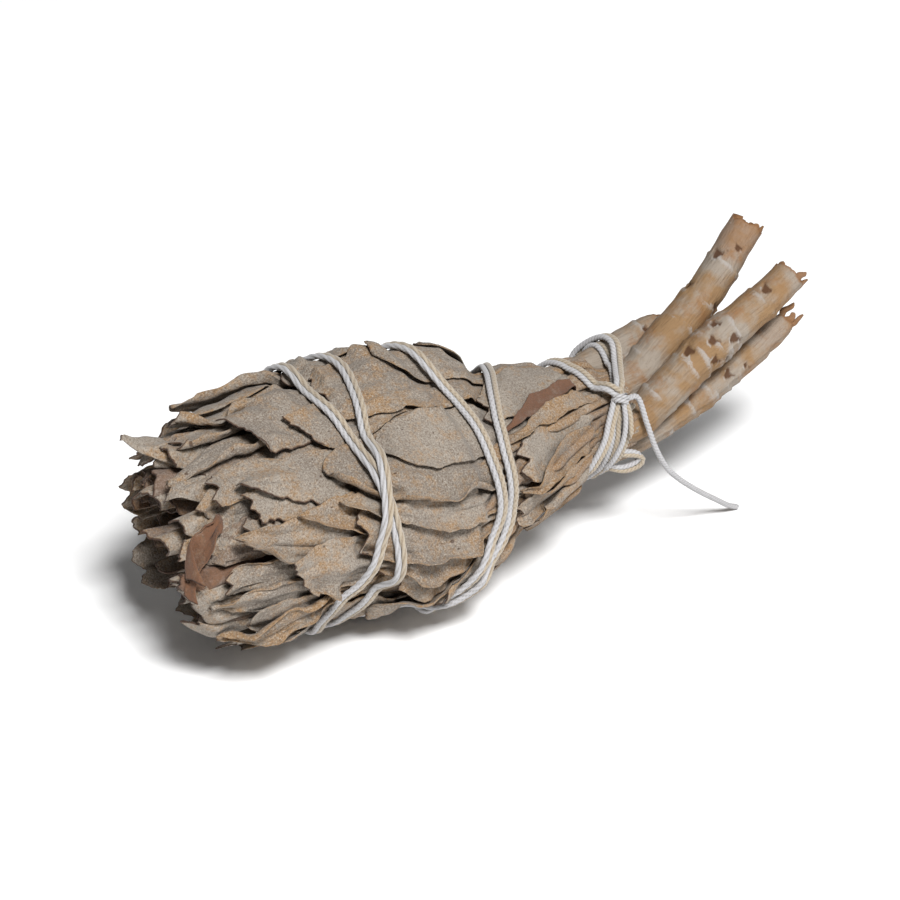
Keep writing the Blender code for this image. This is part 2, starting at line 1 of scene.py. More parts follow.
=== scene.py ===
import math
import bpy
import numpy as np
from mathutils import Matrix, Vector


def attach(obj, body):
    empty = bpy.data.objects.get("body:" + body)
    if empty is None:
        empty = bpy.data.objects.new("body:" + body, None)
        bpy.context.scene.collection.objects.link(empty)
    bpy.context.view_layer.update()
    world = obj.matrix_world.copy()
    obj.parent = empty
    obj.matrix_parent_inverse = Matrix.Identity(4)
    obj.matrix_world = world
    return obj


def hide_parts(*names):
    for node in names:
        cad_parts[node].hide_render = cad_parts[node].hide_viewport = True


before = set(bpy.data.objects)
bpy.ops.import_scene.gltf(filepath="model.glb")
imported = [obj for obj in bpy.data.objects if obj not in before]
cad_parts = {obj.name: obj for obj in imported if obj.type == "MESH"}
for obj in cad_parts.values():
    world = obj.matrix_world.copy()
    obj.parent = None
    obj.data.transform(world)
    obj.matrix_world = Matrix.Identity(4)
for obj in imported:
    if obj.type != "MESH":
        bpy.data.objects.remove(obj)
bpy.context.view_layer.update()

# Sage bunch: dried felted leaves, bare stems, cotton twine
# lengths in mm, turns in degrees round the bunch: 0 up, 90 towards -Y, 180 down; X runs tips to stems
mm = 0.001
bpy.context.scene.view_settings.view_transform = "Standard"

view = dict(azimuth=-33.0, elevation=30.0, distance=0.90, lens=180.0, target=(0.017, 0.0, 0.0305))


def makeCamera():
    az = math.radians(view["azimuth"])
    el = math.radians(view["elevation"])
    back = Vector((math.sin(az) * math.cos(el), -math.cos(az) * math.cos(el), math.sin(el)))
    data = bpy.data.cameras.new("camera")
    data.lens = view["lens"]
    data.clip_start = 0.01
    camera = bpy.data.objects.new("camera", data)
    camera.location = Vector(view["target"]) + back * view["distance"]
    camera.rotation_euler = back.to_track_quat("Z", "Y").to_euler()
    bpy.context.collection.objects.link(camera)
    bpy.context.scene.camera = camera


makeCamera()
print("camera set")

bunch = dict(
    girthX=(-57, -54, -50, -46, -40, -33, -25, -8, 3, 15, 23, 32, 43, 51, 62),
    girthR=(9.0, 12.5, 17.0, 20.5, 23.5, 25.0, 25.4, 26.4, 26.8, 24.4, 21.0, 17.0, 13.0, 11.8, 11.5),
    middleX=(-56, -40, -20, 0, 15, 25, 35, 52, 62, 75),
    middleZ=(29.5, 29.0, 27.8, 27.3, 27.8, 28.3, 28.6, 28.9, 30.0, 33.5),
    underside=5.4,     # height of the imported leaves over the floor
    neckEnd=57.0,
    turnStart=-17.0,
    spans=dict(
        shoot_upper=(-17.0, 55.0), shoot_middle=(55.0, 128.0),
        shoot_lower=(128.0, 235.0), shoot_short=(235.0, 343.0),
    ),
)


def girth(x):
    return np.interp(x, bunch["girthX"], bunch["girthR"])


def middle(x):
    return np.interp(x, bunch["middleX"], bunch["middleZ"])


def unit(value):
    return np.clip(value, 0, 1)


def hump(value, width):
    return np.exp(-(value / width) ** 2)


def beside(grid, axis, join):
    # what the cells on both sides hold, joined
    return join(np.roll(grid, 1, axis), np.roll(grid, -1, axis))


def wrapped(turn):
    return (turn + 180.0) % 360.0 - 180.0


def ownTurn(turn):
    # a turn counted from where the first shoot starts
    return (turn - bunch["turnStart"]) % 360.0 + bunch["turnStart"]


def shootAt(turn):
    return next(name for name, (low, high) in bunch["spans"].items() if low <= turn < high)


def coreRadius(x, turn):
    # packed inner leaves, lower underneath where the bunch lies
    turn = np.asarray(turn)
    side = unit(0.5 + 0.9 * np.cos(np.radians(turn - 50.0)))
    stack = (2.5 + 2.1 * side) * np.interp(x, (28, 44), (1.0, 0.35))
    down = -np.cos(np.radians(turn))
    twineRoom = 1.4 * hump(x + 16.5, 6.0)
    belly = 2.1 * np.exp(-((x - 1.0) / 11.0) ** 4)
    lowest = middle(x) - bunch["underside"] - twineRoom + belly
    flat = np.where(down > 0.05, lowest / np.maximum(down, 0.05), 99.0)
    crown = 4.1 * np.exp(-((x + 8.0) / 15.0) ** 2 - (wrapped(turn + 25.0) / 32.0) ** 2)
    return np.minimum(girth(x) - stack + crown, flat)


def place(x, turn, radius):
    a = np.radians(turn)
    parts = np.broadcast_arrays(x, -radius * np.sin(a), middle(x) + radius * np.cos(a))
    return np.stack(parts, axis=-1)


def unplace(points):
    x, y, z = np.moveaxis(points, -1, 0)
    up = z - middle(x)
    return x, np.degrees(np.arctan2(-y, up)), np.hypot(y, up)


class LeafBed:
    # how far out the bunch reaches on a grid of X and turn, raised as each leaf is laid
    stepX = 0.5
    stepTurn = 1.25
    lowX = -64.0

    def __init__(self):
        self.xs = np.arange(self.lowX, 76.0, self.stepX)
        self.turns = np.arange(0.0, 360.0, self.stepTurn)
        gridX, gridTurn = np.meshgrid(self.xs, self.turns, indexing="ij")
        self.core = coreRadius(gridX, gridTurn) * np.interp(gridX, (48, 57), (1.0, 0.8))
        self.core[self.xs > bunch["neckEnd"] + 0.5] = 0.0
        self.height = self.core.copy()
        self.lowest = np.full_like(self.core, 99.0)   # underside of the lowest leaf
        self.spread()

    def spread(self):
        # the same, one cell wider
        self.wide = self.height
        for axis in (0, 1):
            self.wide = np.maximum(self.wide, beside(self.wide, axis, np.maximum))

    def cells(self, x, turn):
        i = np.clip(np.round((x - self.lowX) / self.stepX), 0, len(self.xs) - 1)
        j = np.round(np.asarray(turn) / self.stepTurn) % len(self.turns)
        return i.astype(int), j.astype(int)

    def under(self, x, turn):
        return self.wide[self.cells(x, turn)]

    def bare(self, x, turn, half):
        xs = np.arange(x - 4.5, x + 2.0, self.stepX)
        turns = np.arange(turn - half, turn + half + 1.0, self.stepTurn)
        i, j = self.cells(*np.meshgrid(xs, turns, indexing="ij"))
        return np.all(self.height[i, j] <= self.core[i, j] + 0.01)

    def cover(self, points):
        x, turn, radius = unplace(points.reshape(-1, 3))
        np.maximum.at(self.height, self.cells(x, turn), radius)
        self.spread()

    def shelter(self, points):
        x, turn, radius = unplace(points.reshape(-1, 3))
        np.minimum.at(self.lowest, self.cells(x, turn), radius)

    def read(self, grid, x, turn):
        # a grid's value between its points
        along = np.clip((np.asarray(x) - self.lowX) / self.stepX, 0, len(self.xs) - 1.001)
        around = (np.asarray(turn) / self.stepTurn) % len(self.turns)
        i = along.astype(int)
        j = around.astype(int) % len(self.turns)
        k = (j + 1) % len(self.turns)
        a = along - i
        b = around - np.floor(around)
        low = grid[i, j] * (1 - b) + grid[i, k] * b
        high = grid[i + 1, j] * (1 - b) + grid[i + 1, k] * b
        return low * (1 - a) + high * a


leaf = dict(
    thick=0.36,        # a dried sage leaf with its felt
    gap=0.10,
    fine=0.48,         # point spacing where it is seen
    coarse=1.1,
    rounds=dict(over=150, fine=60, coarse=16),   # how often a blade is smoothed
    edgeLift=0.60,
    headLift=0.9,      # how much further the tips at the head stand up
    rootLength=3.2,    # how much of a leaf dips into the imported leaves, and how deep
    rootDepth=1.2,
    wrinkle=0.20,
    # leaves that show: tip X, tip turn, root X, root turn, width, tip, flare, extras
    # high and low are the sides of a blade: rollHigh and rollLow are the widths rolled over, with radius
    # curl, raggedHigh and raggedLow how torn they are, and open is how far the low side stands off;
    # calm keeps the edges down, cup hollows the tip, and over lays the leaf on the stalks
    seen=(
        (-9, 38, 33, 42, 14, "round", 0.8, dict(smooth=1, ochre=0.1)),
        (-12.5, 49, -4, 53, 4.5, "torn", 0.9, dict(ochre=1.2, rust=0.3, cup=-1.2)),
        (-15, 2, 31, 10, 20, "torn", 0.4, dict(ochre=0.9, wrinkle=1.6, cup=-0.2)),
        (-17, -27, 20, -20, 16, "torn", 0.1, dict(cup=-0.1, calm=1)),
        (2, -12, 34, -8, 15, "round", 0.1, dict(cup=0, calm=1, ochre=0.6)),
        (-22, 43, 30, 71, 17, "round", 0.4, dict(rollLow=3.0, ochre=0.7, bend=0, open=1.8, wrinkle=1.4)),
        (-22, 58, 27, 80, 14, "point", 0.3, dict(ochre=0.5, rollLow=1.2, open=1.5)),
        (-21, 74, 25, 94, 15, "torn", 0.3, dict(rollLow=2.4, ochre=0.9, open=1.8, wrinkle=1.5)),
        (-17, 88, 21, 103, 12, "torn", 0.3, dict(rollLow=1.8, ochre=0.7, open=1.6)),
        (-12, 106, 18, 112, 11, "ragged", 0.4, dict(ochre=0.9, open=1.2)),
        (-6, 116, 8, 114, 6, "ragged", 2.2, dict(ochre=1.4, rust=0.3, cup=-1.0)),
        (-2, 122, 22, 118, 11, "torn", 0.3, dict(rollLow=1.4, ochre=0.7, open=0.8)),
        (-40.5, 38, -2, 45, 14, "point", 0.9, dict(raggedLow=1.2, ochre=0.35, cup=-0.5)),
        (-25, 20, 3, 17, 12, "slant", 0.6, dict(cup=-0.4)),
        (-37, 12, -6, 5, 14, "slant", 0.8, dict(raggedLow=1.0, cup=-1.0)),
        (-41, 50, -16, 50, 9, "ragged", 0.6, dict(raggedLow=0.9, cup=-0.6)),
        (-43, 61, -20, 65, 9, "torn", 0.9, dict(raggedHigh=0.5, cup=-1.2)),
        (-31, 59, 2, 67, 10, "point", 0.4, dict(rollLow=1.6, ochre=1.0, open=1.2)),
        (-44.5, 62, -3, 80, 15, "point", 0.5, dict(rollLow=3.4, ochre=0.9, open=1.5, bend=3.0, wrinkle=1.3)),
        (-36, 88, -2, 97, 13, "slant", 0.6, dict(rollLow=2.2, ochre=0.6, open=1.0)),
        (-49, 104, -20, 103, 11, "point", 0.5, dict(cup=-1.6, rollHigh=2.0)),
        (-47.5, 88, -27, 85, 8, "torn", 0.5, dict(cup=-1.2, rollHigh=1.4)),
        (-42, 115, -12, 113, 13, "round", 0.3, dict(rollLow=2.4, ochre=0.7, open=0.4)),
        (-46.5, 131, -8, 100, 9, "round", 0.8, dict(rollLow=2.6, rollHigh=2.2, ochre=1.4, bend=-2.0)),
        (-38, -36, -2, -32, 16, "point", 0.6, dict(cup=-0.8, rollLow=4.0, curl=1.4, calm=1)),
        (-43, -20, -12, -13, 13, "torn", 0.8, dict(rollHigh=2.6, rollLow=4.2, curl=1.35, cup=-0.6, calm=1)),
        (-46, -4, -14, -2, 10.5, "torn", 0.8, dict(rollHigh=1.6, rollLow=3.8, curl=1.25, cup=-1.0)),
        (-50, 14, -22, 12, 10, "point", 1.0, dict(rollLow=3.8, curl=1.25, cup=-1.4)),
        (-46, 34, -24, 34, 10, "torn", 1.0, dict(cup=-1.6, rollLow=1.6)),
        (
            -53.5, 90, -43, 54, 9, "torn", 1.2,
            dict(rust=0.9, rollLow=2.4, rollHigh=2.4, cup=2.6, bend=-2.0, ochre=1.6),
        ),
    ),
    # laid over the stalks at the neck
    neck=(
        (16.5, 32, 45, 6, 12.5, "torn", 0.2, dict(over=1, smooth=1, ochre=0.2, open=0.5)),
        (19.5, 50, 45, 25, 4.2, "point", 0.3, dict(over=1, rust=0.9, rollLow=0.9, rollHigh=0.9)),
        (19.5, 68, 46, 63, 10.5, "torn", 0.4, dict(over=1, ochre=0.2, open=0.9, wrinkle=0.4)),
        (19, 57, 50, 43, 4.0, "point", 0.2, dict(over=1, ochre=1.3, rollLow=0.9, rollHigh=0.9, wrinkle=0.2)),
        (20, 84, 48, 76, 6.0, "point", 0.2, dict(over=1, ochre=1.2, rollLow=1.6, open=0.9, wrinkle=0.2)),
        (18, 97, 46, 90, 8.0, "torn", 0.2, dict(over=1, ochre=0.9, rollLow=1.8, open=0.9, wrinkle=0.3)),
        (22, 112, 44, 104, 7.0, "torn", 0.2, dict(over=1, ochre=1.1, rollLow=1.2, wrinkle=0.3)),
    ),
    # laid by rule at the back: tip X, root X, first and last turn, number, width
    hidden=(
        (-46.5, -20, 228, 306, 3, 13),
        (-43, -18, 150, 200, 2, 13),
        (-37, -6, 134, 322, 6, 17),
        (-21, 12, 220, 316, 4, 17),
        (-3, 27, 226, 326, 4, 16),
        (-12, 22, 140, 146, 1, 17),
        (15, 42, 140, 332, 5, 12),
    ),
    # the leaf that the bunch lies on, and the spot of it that is pressed flat
    rest=(-9.5, 180, 27, 180, 17, "round", 0.0, dict(flat=1)),
    spot=dict(x=0.5, halfX=11.0, easeX=6.0, halfY=8.0, easeY=5.0),
    tornSteps=dict(
        torn=(3.0, 0.4, 2.6, 0.0, 1.8), ragged=(0.2, 2.8, 0.8, 3.4, 2.4),
        slant=(0.0, 1.0, 3.0, 3.6, 6.0), point=(0, 0, 0, 0, 0), round=(0, 0, 0, 0, 0),
    ),
    tipTear=dict(torn=1.0, ragged=1.0, slant=1.0, point=0.0, round=0.0),
)


def wavy(draw, at, longest, shortest):
    # smooth noise along a line, about -1 to 1
    total = np.zeros(np.shape(at))
    size = longest
    weight = 1.0
    whole = 0.0
    while size >= shortest:
        total = total + weight * np.sin(np.asarray(at) * 2 * math.pi / size + draw.uniform(0, 6.28))
        total = total + weight * np.sin(np.asarray(at) * 4.6 / size + draw.uniform(0, 6.28))
        whole += weight
        size *= 0.55
        weight *= 0.62
    return total / (1.6 * whole)


def bladeShare(u, tip):
    root = 1.0 - 0.72 * unit((u - 0.45) / 0.55) ** 1.5
    if tip == "round":
        front = np.sqrt(np.clip(1.0 - (1.0 - unit(u / 0.28)) ** 2, 0.02, 1))
    elif tip == "point":
        front = unit(0.04 + 0.96 * (u / 0.42) ** 0.8)
    else:
        front = unit(0.72 + 0.9 * u)
    return root * front


def rollOver(across, half, roll, radius):
    # an edge rolled up over itself: where each point goes sideways, and how high
    over = np.maximum(across - (half - roll), 0.0) / radius
    return np.minimum(across, half - roll) + radius * np.sin(over), radius * (1 - np.cos(over))


def relax(floor, rounds):
    # a sheet drawn taut over what is below
    radius = floor
    for _ in range(rounds):
        p = np.pad(radius, 1, mode="edge")
        mean = 0.25 * (p[:-2, 1:-1] + p[2:, 1:-1] + p[1:-1, :-2] + p[1:-1, 2:])
        radius = np.maximum(floor, mean)
    return radius


def gridNormals(points):
    along = np.gradient(points, axis=0)
    across = np.gradient(points, axis=1)
    n = np.cross(along, across)
    return n / np.maximum(np.linalg.norm(n, axis=2, keepdims=True), 1e-9)


def sheetFaces(rows, cols):
    # a closed thin sheet: two alike grids and the rim between them
    i, j = np.meshgrid(np.arange(rows - 1), np.arange(cols - 1), indexing="ij")
    a = (i * cols + j).ravel()
    top = np.stack([a, a + 1, a + cols + 1, a + cols], axis=1)
    count = rows * cols
    rim = list(range(cols)) + [r * cols + cols - 1 for r in range(1, rows)]
    rim += [(rows - 1) * cols + c for c in range(cols - 2, -1, -1)]
    rim = np.array(rim + [r * cols for r in range(rows - 2, 0, -1)])
    after = np.roll(rim, -1)
    sides = np.stack([after, rim, rim + count, after + count], axis=1)
    return np.vstack([top, top[:, ::-1] + count, sides])


class Patchwork:
    # gathers closed pieces into one mesh, with what the finish needs at each point
    def __init__(self, *noteNames):
        self.points = []
        self.faces = []
        self.notes = {name: [] for name in noteNames}
        self.count = 0

    def add(self, points, faces, **notes):
        self.points.append(points)
        self.faces.append(faces + self.count)
        for name, parts in self.notes.items():
            values = np.asarray(notes.get(name, 0.0))
            parts.append(np.broadcast_to(values, (len(points), *values.shape[1:])))
        self.count += len(points)

    def build(self, name):
        faces = np.vstack(self.faces)
        mesh = bpy.data.meshes.new(name)
        mesh.vertices.add(self.count)
        mesh.vertices.foreach_set("co", (np.vstack(self.points) * mm).astype(np.float32).ravel())
        mesh.loops.add(faces.size)
        mesh.loops.foreach_set("vertex_index", faces.ravel().astype(np.int32))
        mesh.polygons.add(len(faces))
        mesh.polygons.foreach_set("loop_start", np.arange(0, faces.size, 4, dtype=np.int32))
        mesh.update(calc_edges=True)
        mesh.validate()
        mesh.shade_smooth()
        for note, parts in self.notes.items():
            values = np.concatenate(parts)
            kind, key = ("FLOAT", "value") if values.ndim == 1 else ("FLOAT_VECTOR", "vector")
            data = mesh.attributes.new(note, kind, "POINT").data
            data.foreach_set(key, values.astype(np.float32).ravel())
        made = bpy.data.objects.new(name, mesh)
        bpy.context.collection.objects.link(made)
        return made


bed = LeafBed()
shoots = {name: Patchwork("rim", "ochre", "rust", "tone", "depth") for name in bunch["spans"]}


def addSheet(shoot, outer, inner, rim, **notes):
    # one leaf with its dark rim, the inner face a little deeper in colour
    points = np.vstack([outer.reshape(-1, 3), inner.reshape(-1, 3)])
    depth = np.repeat((0.0, 1.0), rim.size)
    shoots[shoot].add(points, sheetFaces(*rim.shape), rim=np.tile(rim.ravel(), 2), depth=depth, **notes)


def findRoot(tipTurn, rootX, rootTurn, width, extra):
    # the shoot that a leaf grows from, and room for its root there
    rootTurn = ownTurn(rootTurn)
    shoot = shootAt(rootTurn)
    low, high = bunch["spans"][shoot]
    tipTurn = rootTurn + wrapped(tipTurn - rootTurn)
    rootHalf = 0.5 * width * 0.28
    for _ in range(24):
        half = math.degrees((rootHalf + 1.0) / float(coreRadius(rootX, rootTurn)))
        rootTurn = min(max(rootTurn, low + half), high - half)
        if extra.get("over") or bed.bare(rootX, rootTurn, half):
            break
        rootX += 0.5
    return shoot, tipTurn, rootX, rootTurn


def tornSides(draw, u, far, half, extra):
    # the half widths of a blade on its high and its low side
    taper = np.clip(u / 0.15, 0.1, 1) * np.clip((1 - u) / 0.2, 0.1, 1)
    for key in ("raggedHigh", "raggedLow"):
        rough = wavy(draw, far, 9.0, 3.0) * 0.35 + wavy(draw, far, 2.4, 1.0) * 0.12
        torn = np.abs(wavy(draw, far, 7.0, 1.2)) * unit(1.0 - u / 0.55)
        yield half + (rough - extra.get(key, 0.0) * 2.2 * torn) * taper


def tornTip(draw, v, width, tip):
    # how far back the tip is torn
    jag = np.interp(v, np.linspace(-1, 1, 5), leaf["tornSteps"][tip]) * min(1.0, width / 12.0)
    jag = jag + leaf["tipTear"][tip] * (0.45 * wavy(draw, v * width * 0.5, 3.5, 0.7) + 0.5)
    return jag + 0.14 * wavy(draw, v * width * 0.5, 1.6, 0.6)


def rolledEdges(draw, u, v, far, halfHigh, halfLow, extra):
    # how far across each point lies, and how high where an edge is rolled over
    across = np.where(v < 0, v * halfHigh, v * halfLow)
    height = np.zeros_like(across)
    for side, key, edge in ((1, "rollLow", halfLow), (-1, "rollHigh", halfHigh)):
        if key in extra:
            roll = np.minimum(extra[key] * (0.75 + 0.35 * wavy(draw, far, 16, 8)), edge * 0.8)
            roll = roll * unit((1 - u) / 0.25)
            moved, up = rollOver(side * across, edge, roll, extra.get("curl", 0.75))
            across = np.where(side * v > 0, side * moved, across)
            height = np.where(side * v > 0, up, height)
    return across, height


def creased(draw, radius, u, v, far, half, deep, count):
    # long creases that fan out from the stalk
    for _ in range(count):
        at = draw.uniform(-0.9, 0.9) * (1 - 0.5 * u) + draw.uniform(-0.25, 0.25) * u
        wide = draw.uniform(0.35, 1.1)
        reach = unit(1.0 - np.abs(u - draw.uniform(0.15, 0.9)) / draw.uniform(0.25, 0.6))
        off = (v - at - 0.1 * wavy(draw, far, 20, 9)) * half / wide
        fold = np.exp(-(off - 1.2) ** 2) - 0.7 * np.exp(-off ** 2)
        radius = radius + deep * draw.uniform(0.15, 0.5) * reach * fold
    return radius


def lifted(draw, radius, u, v, far, flare, extra):
    # edges and tip that stand off what is below
    lift = leaf["edgeLift"] * (0.5 if "smooth" in extra else 1.0)
    lift = lift * np.where(v > 0, 1.3, 0.6) * np.abs(v) ** 4
    lift = lift * (0.45 + 0.55 * wavy(draw, far, 14.0, 5.0)) * unit((1 - u) / 0.3)
    if extra.get("calm"):
        lift = lift * 0.2
    opened = extra.get("open", 0.0) * unit(v) ** 3 * unit((1 - u) / 0.35)
    opened = opened * (0.8 + 0.3 * wavy(draw, far, 18.0, 8.0))
    return radius + np.maximum(lift, 0) + opened + flare * unit(1.0 - u / 0.35) ** 2


def thickened(x, turn, radius, edgeGap):
    # both faces of a blade, thinner at the edge
    inner = place(x, turn, radius)
    normal = gridNormals(inner)
    outward = place(x, turn, radius + 1.0) - inner
    rows, cols = radius.shape
    central = (slice(rows // 3, 2 * rows // 3), slice(cols // 3, 2 * cols // 3))
    if np.sum(normal[central] * outward[central]) < 0:
        normal = -normal
    return inner, inner + normal * leaf["thick"] * (0.6 + 0.4 * unit(edgeGap / 0.8))[..., None]


def layLeaf(row, draw, fine):
    tipX, tipTurn, rootX, rootTurn, width, tip, flare, extra = row
    shoot, tipTurn, rootX, rootTurn = findRoot(tipTurn, rootX, rootTurn, width, extra)
    flare = flare + leaf["headLift"] * float(np.interp(tipX, (-40, -33), (1, 0)))
    length = math.hypot(rootX - tipX, math.radians(rootTurn - tipTurn) * 24.0)
    step = leaf["fine"] if fine else leaf["coarse"]
    u = np.linspace(0.0, 1.0, int(length / step) + 2)[:, None]
    v = np.sin(np.linspace(-1.0, 1.0, max(9, int(width / step) + 1)) * 1.25)[None, :] / math.sin(1.25)
    far = u * length
    half = 0.5 * width * bladeShare(u, tip)
    halfHigh, halfLow = tornSides(draw, u, far, half, extra)
    jag = tornTip(draw, v, width, tip)
    x = tipX + (rootX - tipX) * u + jag * unit(1.0 - u / 0.3) ** 1.5
    across, height = rolledEdges(draw, u, v, far, halfHigh, halfLow, extra)
    bend = extra.get("bend", draw.uniform(-1.5, 1.5)) * np.sin(math.pi * u)
    turn = tipTurn + (rootTurn - tipTurn) * u + np.degrees((across + bend) / np.maximum(girth(x), 8.0))
    floor = bed.under(x, turn) + leaf["gap"]
    radius = relax(floor, leaf["rounds"]["over" if "over" in extra else "fine" if fine else "coarse"])
    amount = leaf["wrinkle"] * extra.get("wrinkle", 0.3 if "smooth" in extra else 1.0)
    slant = draw.uniform(-0.35, 0.35)
    folds = wavy(draw, across + slant * far, 6.0, 1.6) * wavy(draw, far + across, 22.0, 9.0)
    radius = radius + amount * (1.0 + folds * 1.6)
    deep = np.interp(rootTurn, (40, 75), (1.0, 1.9))
    creases = 1 if "smooth" in extra or "over" in extra else 5
    radius = creased(draw, radius, u, v, far, half, deep, creases)
    radius = np.maximum(radius, floor - 0.25)
    radius = lifted(draw, radius, u, v, far, flare, extra) + height
    cup = extra.get("cup", draw.uniform(-0.4, 0.2)) * unit(1 - u / 0.6) ** 1.3
    radius = radius + np.where(cup > 0, cup * v * v, -cup * (1 - v * v))
    ending = leaf["rootLength"] / length
    sink = unit((u - 1.0 + ending) / ending) ** 1.5
    radius = radius * (1 - sink) + (coreRadius(x, turn) - leaf["rootDepth"]) * sink
    edgeGap = np.where(v < 0, (1 + v) * halfHigh, (1 - v) * halfLow)
    inner, outer = thickened(x, turn, radius, np.minimum(edgeGap, far))
    if "flat" in extra:
        spot = leaf["spot"]
        pressed = unit((spot["halfX"] - np.abs(outer[..., 0] - spot["x"])) / spot["easeX"])
        pressed = pressed * unit((spot["halfY"] - np.abs(outer[..., 1])) / spot["easeY"])
        outer[..., 2] *= 1 - pressed
    outer[..., 2] = np.maximum(outer[..., 2], 0.0)
    inner[..., 2] = np.maximum(inner[..., 2], 0.05)
    bed.cover(outer)
    bed.cover(0.5 * (outer[1:, 1:] + outer[:-1, :-1]))
    bed.shelter(inner)
    ragged = np.where(v < 0, extra.get("raggedHigh", 0.0), extra.get("raggedLow", 0.0))
    sideRim = unit(0.46 + ragged) * unit(1.0 - edgeGap / (0.4 + 0.5 * np.minimum(ragged, 1)))
    rim = np.maximum((0.75 + 0.25 * leaf["tipTear"][tip]) * unit(1.0 - far / 0.7), sideRim)
    ochre = extra.get("ochre", draw.uniform(0.1, 0.6)) + 0.8 * np.exp(-edgeGap / 1.2)
    ochre = np.tile(ochre.ravel(), 2)
    tone = draw.uniform(-1, 1)
    draw.random()   # spare, it keeps the leaves after this one as they are
    addSheet(shoot, outer, inner, rim, ochre=ochre, rust=extra.get("rust", 0.0), tone=tone)


def allLeaves():
    draw = np.random.default_rng(11)
    rows = [(row, True) for row in leaf["seen"]]
    for tipX, rootX, low, high, count, width in leaf["hidden"]:
        for turn in np.linspace(low, high, count):
            shift = draw.uniform(-2.0, 2.0)
            swing = draw.uniform(-7.0, 7.0)
            tip = ("point", "torn", "round", "slant")[draw.integers(4)]
            atHead = tipX < -40
            if atHead:
                tip = "torn"
            flare = draw.uniform(0.0, 0.35) if 220 < turn < 290 else 0.0
            extra = dict(calm=turn > 300)
            rows.append(((tipX + shift, turn + swing, rootX + shift, turn, width, tip, flare, extra), atHead))
    rows.append((leaf["rest"], False))
    return sorted(rows, key=lambda pair: pair[0][2])


head = dict(
    step=0.6,
    cols=25,
    # curled inner leaves by rule: radius at the root, number, tip X, width
    rings=((4.0, 4, -50.5, 9.0), (9.5, 7, -50.5, 10.5), (14.5, 10, -49.0, 12.0), (18.0, 13, -45.0, 12.0)),
    rootX=-30.0,
    faceTurn=55.0,     # the side towards which the loose tips lean open
    lean=0.6,
    # inner leaves that show: tip X, turn and radius, root turn and radius, width, curl radius
    # (towards the middle, below 0 away from it), how far the face is swung, extras
    seen=(
        (-54.6, -12, 23.0, -6, 17.0, 9.0, 6.0, 0, dict(hook=2.2, point=1, free=14, ochre=0.1)),
        (-47.6, -52, 15.5, -50, 15.0, 9.0, 2.2, 45, dict(ochre=1.2)),
        (-47.2, -74, 14.5, -72, 15.0, 9.0, 2.0, 30, dict(rust=0.4, ochre=1.2)),
        (-47.2, -98, 15.0, -96, 15.0, 9.0, 2.2, 40, dict(ochre=1.0)),
        (-48.5, -28, 14.0, -30, 13.0, 8.0, 2.0, 40, dict(rust=0.3, ochre=1.0)),
        (-47.0, 0, 21.5, -4, 19.5, 10.5, 3.0, 0, dict(ochre=0.2, free=3)),
        (-49.5, -12, 19.8, -10, 18.0, 10.5, 2.6, 0, dict(free=2)),
        (-51.5, 22, 18.5, 18, 18.5, 12.5, 4.2, 15, dict(point=1, free=2)),
        (-48.0, 40, 20.0, 38, 19.0, 11.0, 4.5, -15, dict(point=1, free=1)),
        (-50.5, 46, 15.5, 42, 18.0, 11.0, 3.0, 10, dict(free=1)),
        (-52.0, 62, 18.0, 60, 18.0, 10.0, 2.4, 0, dict(free=1)),
        (-53.0, 86, 16.5, 84, 17.0, 9.5, 2.2, 15, dict(rust=0.8, free=1)),
        (-53.0, 98, 18.5, 96, 18.0, 10.0, 3.0, 0, dict(ochre=0.4)),
        (-50.5, 112, 19.0, 110, 18.5, 10.0, 3.4, -15, dict()),
        (-50.0, 128, 20.0, 126, 19.0, 10.0, 3.0, 0, dict()),
        (-52.0, 0, 13.0, 0, 14.0, 11.5, 3.4, 20, dict()),
        (-53.0, 55, 9.5, 52, 11.0, 11.0, 2.6, -10, dict(ochre=0.5)),
        (-52.5, 100, 12.5, 98, 13.0, 11.0, 3.2, 15, dict(ochre=0.7)),
    ),
)


def sheltered(x, turn):
    # inner leaves stay below the lowest leaf laid over them
    return np.minimum(bed.lowest[bed.cells(x, turn)] - 0.35, girth(x) - 1.2)


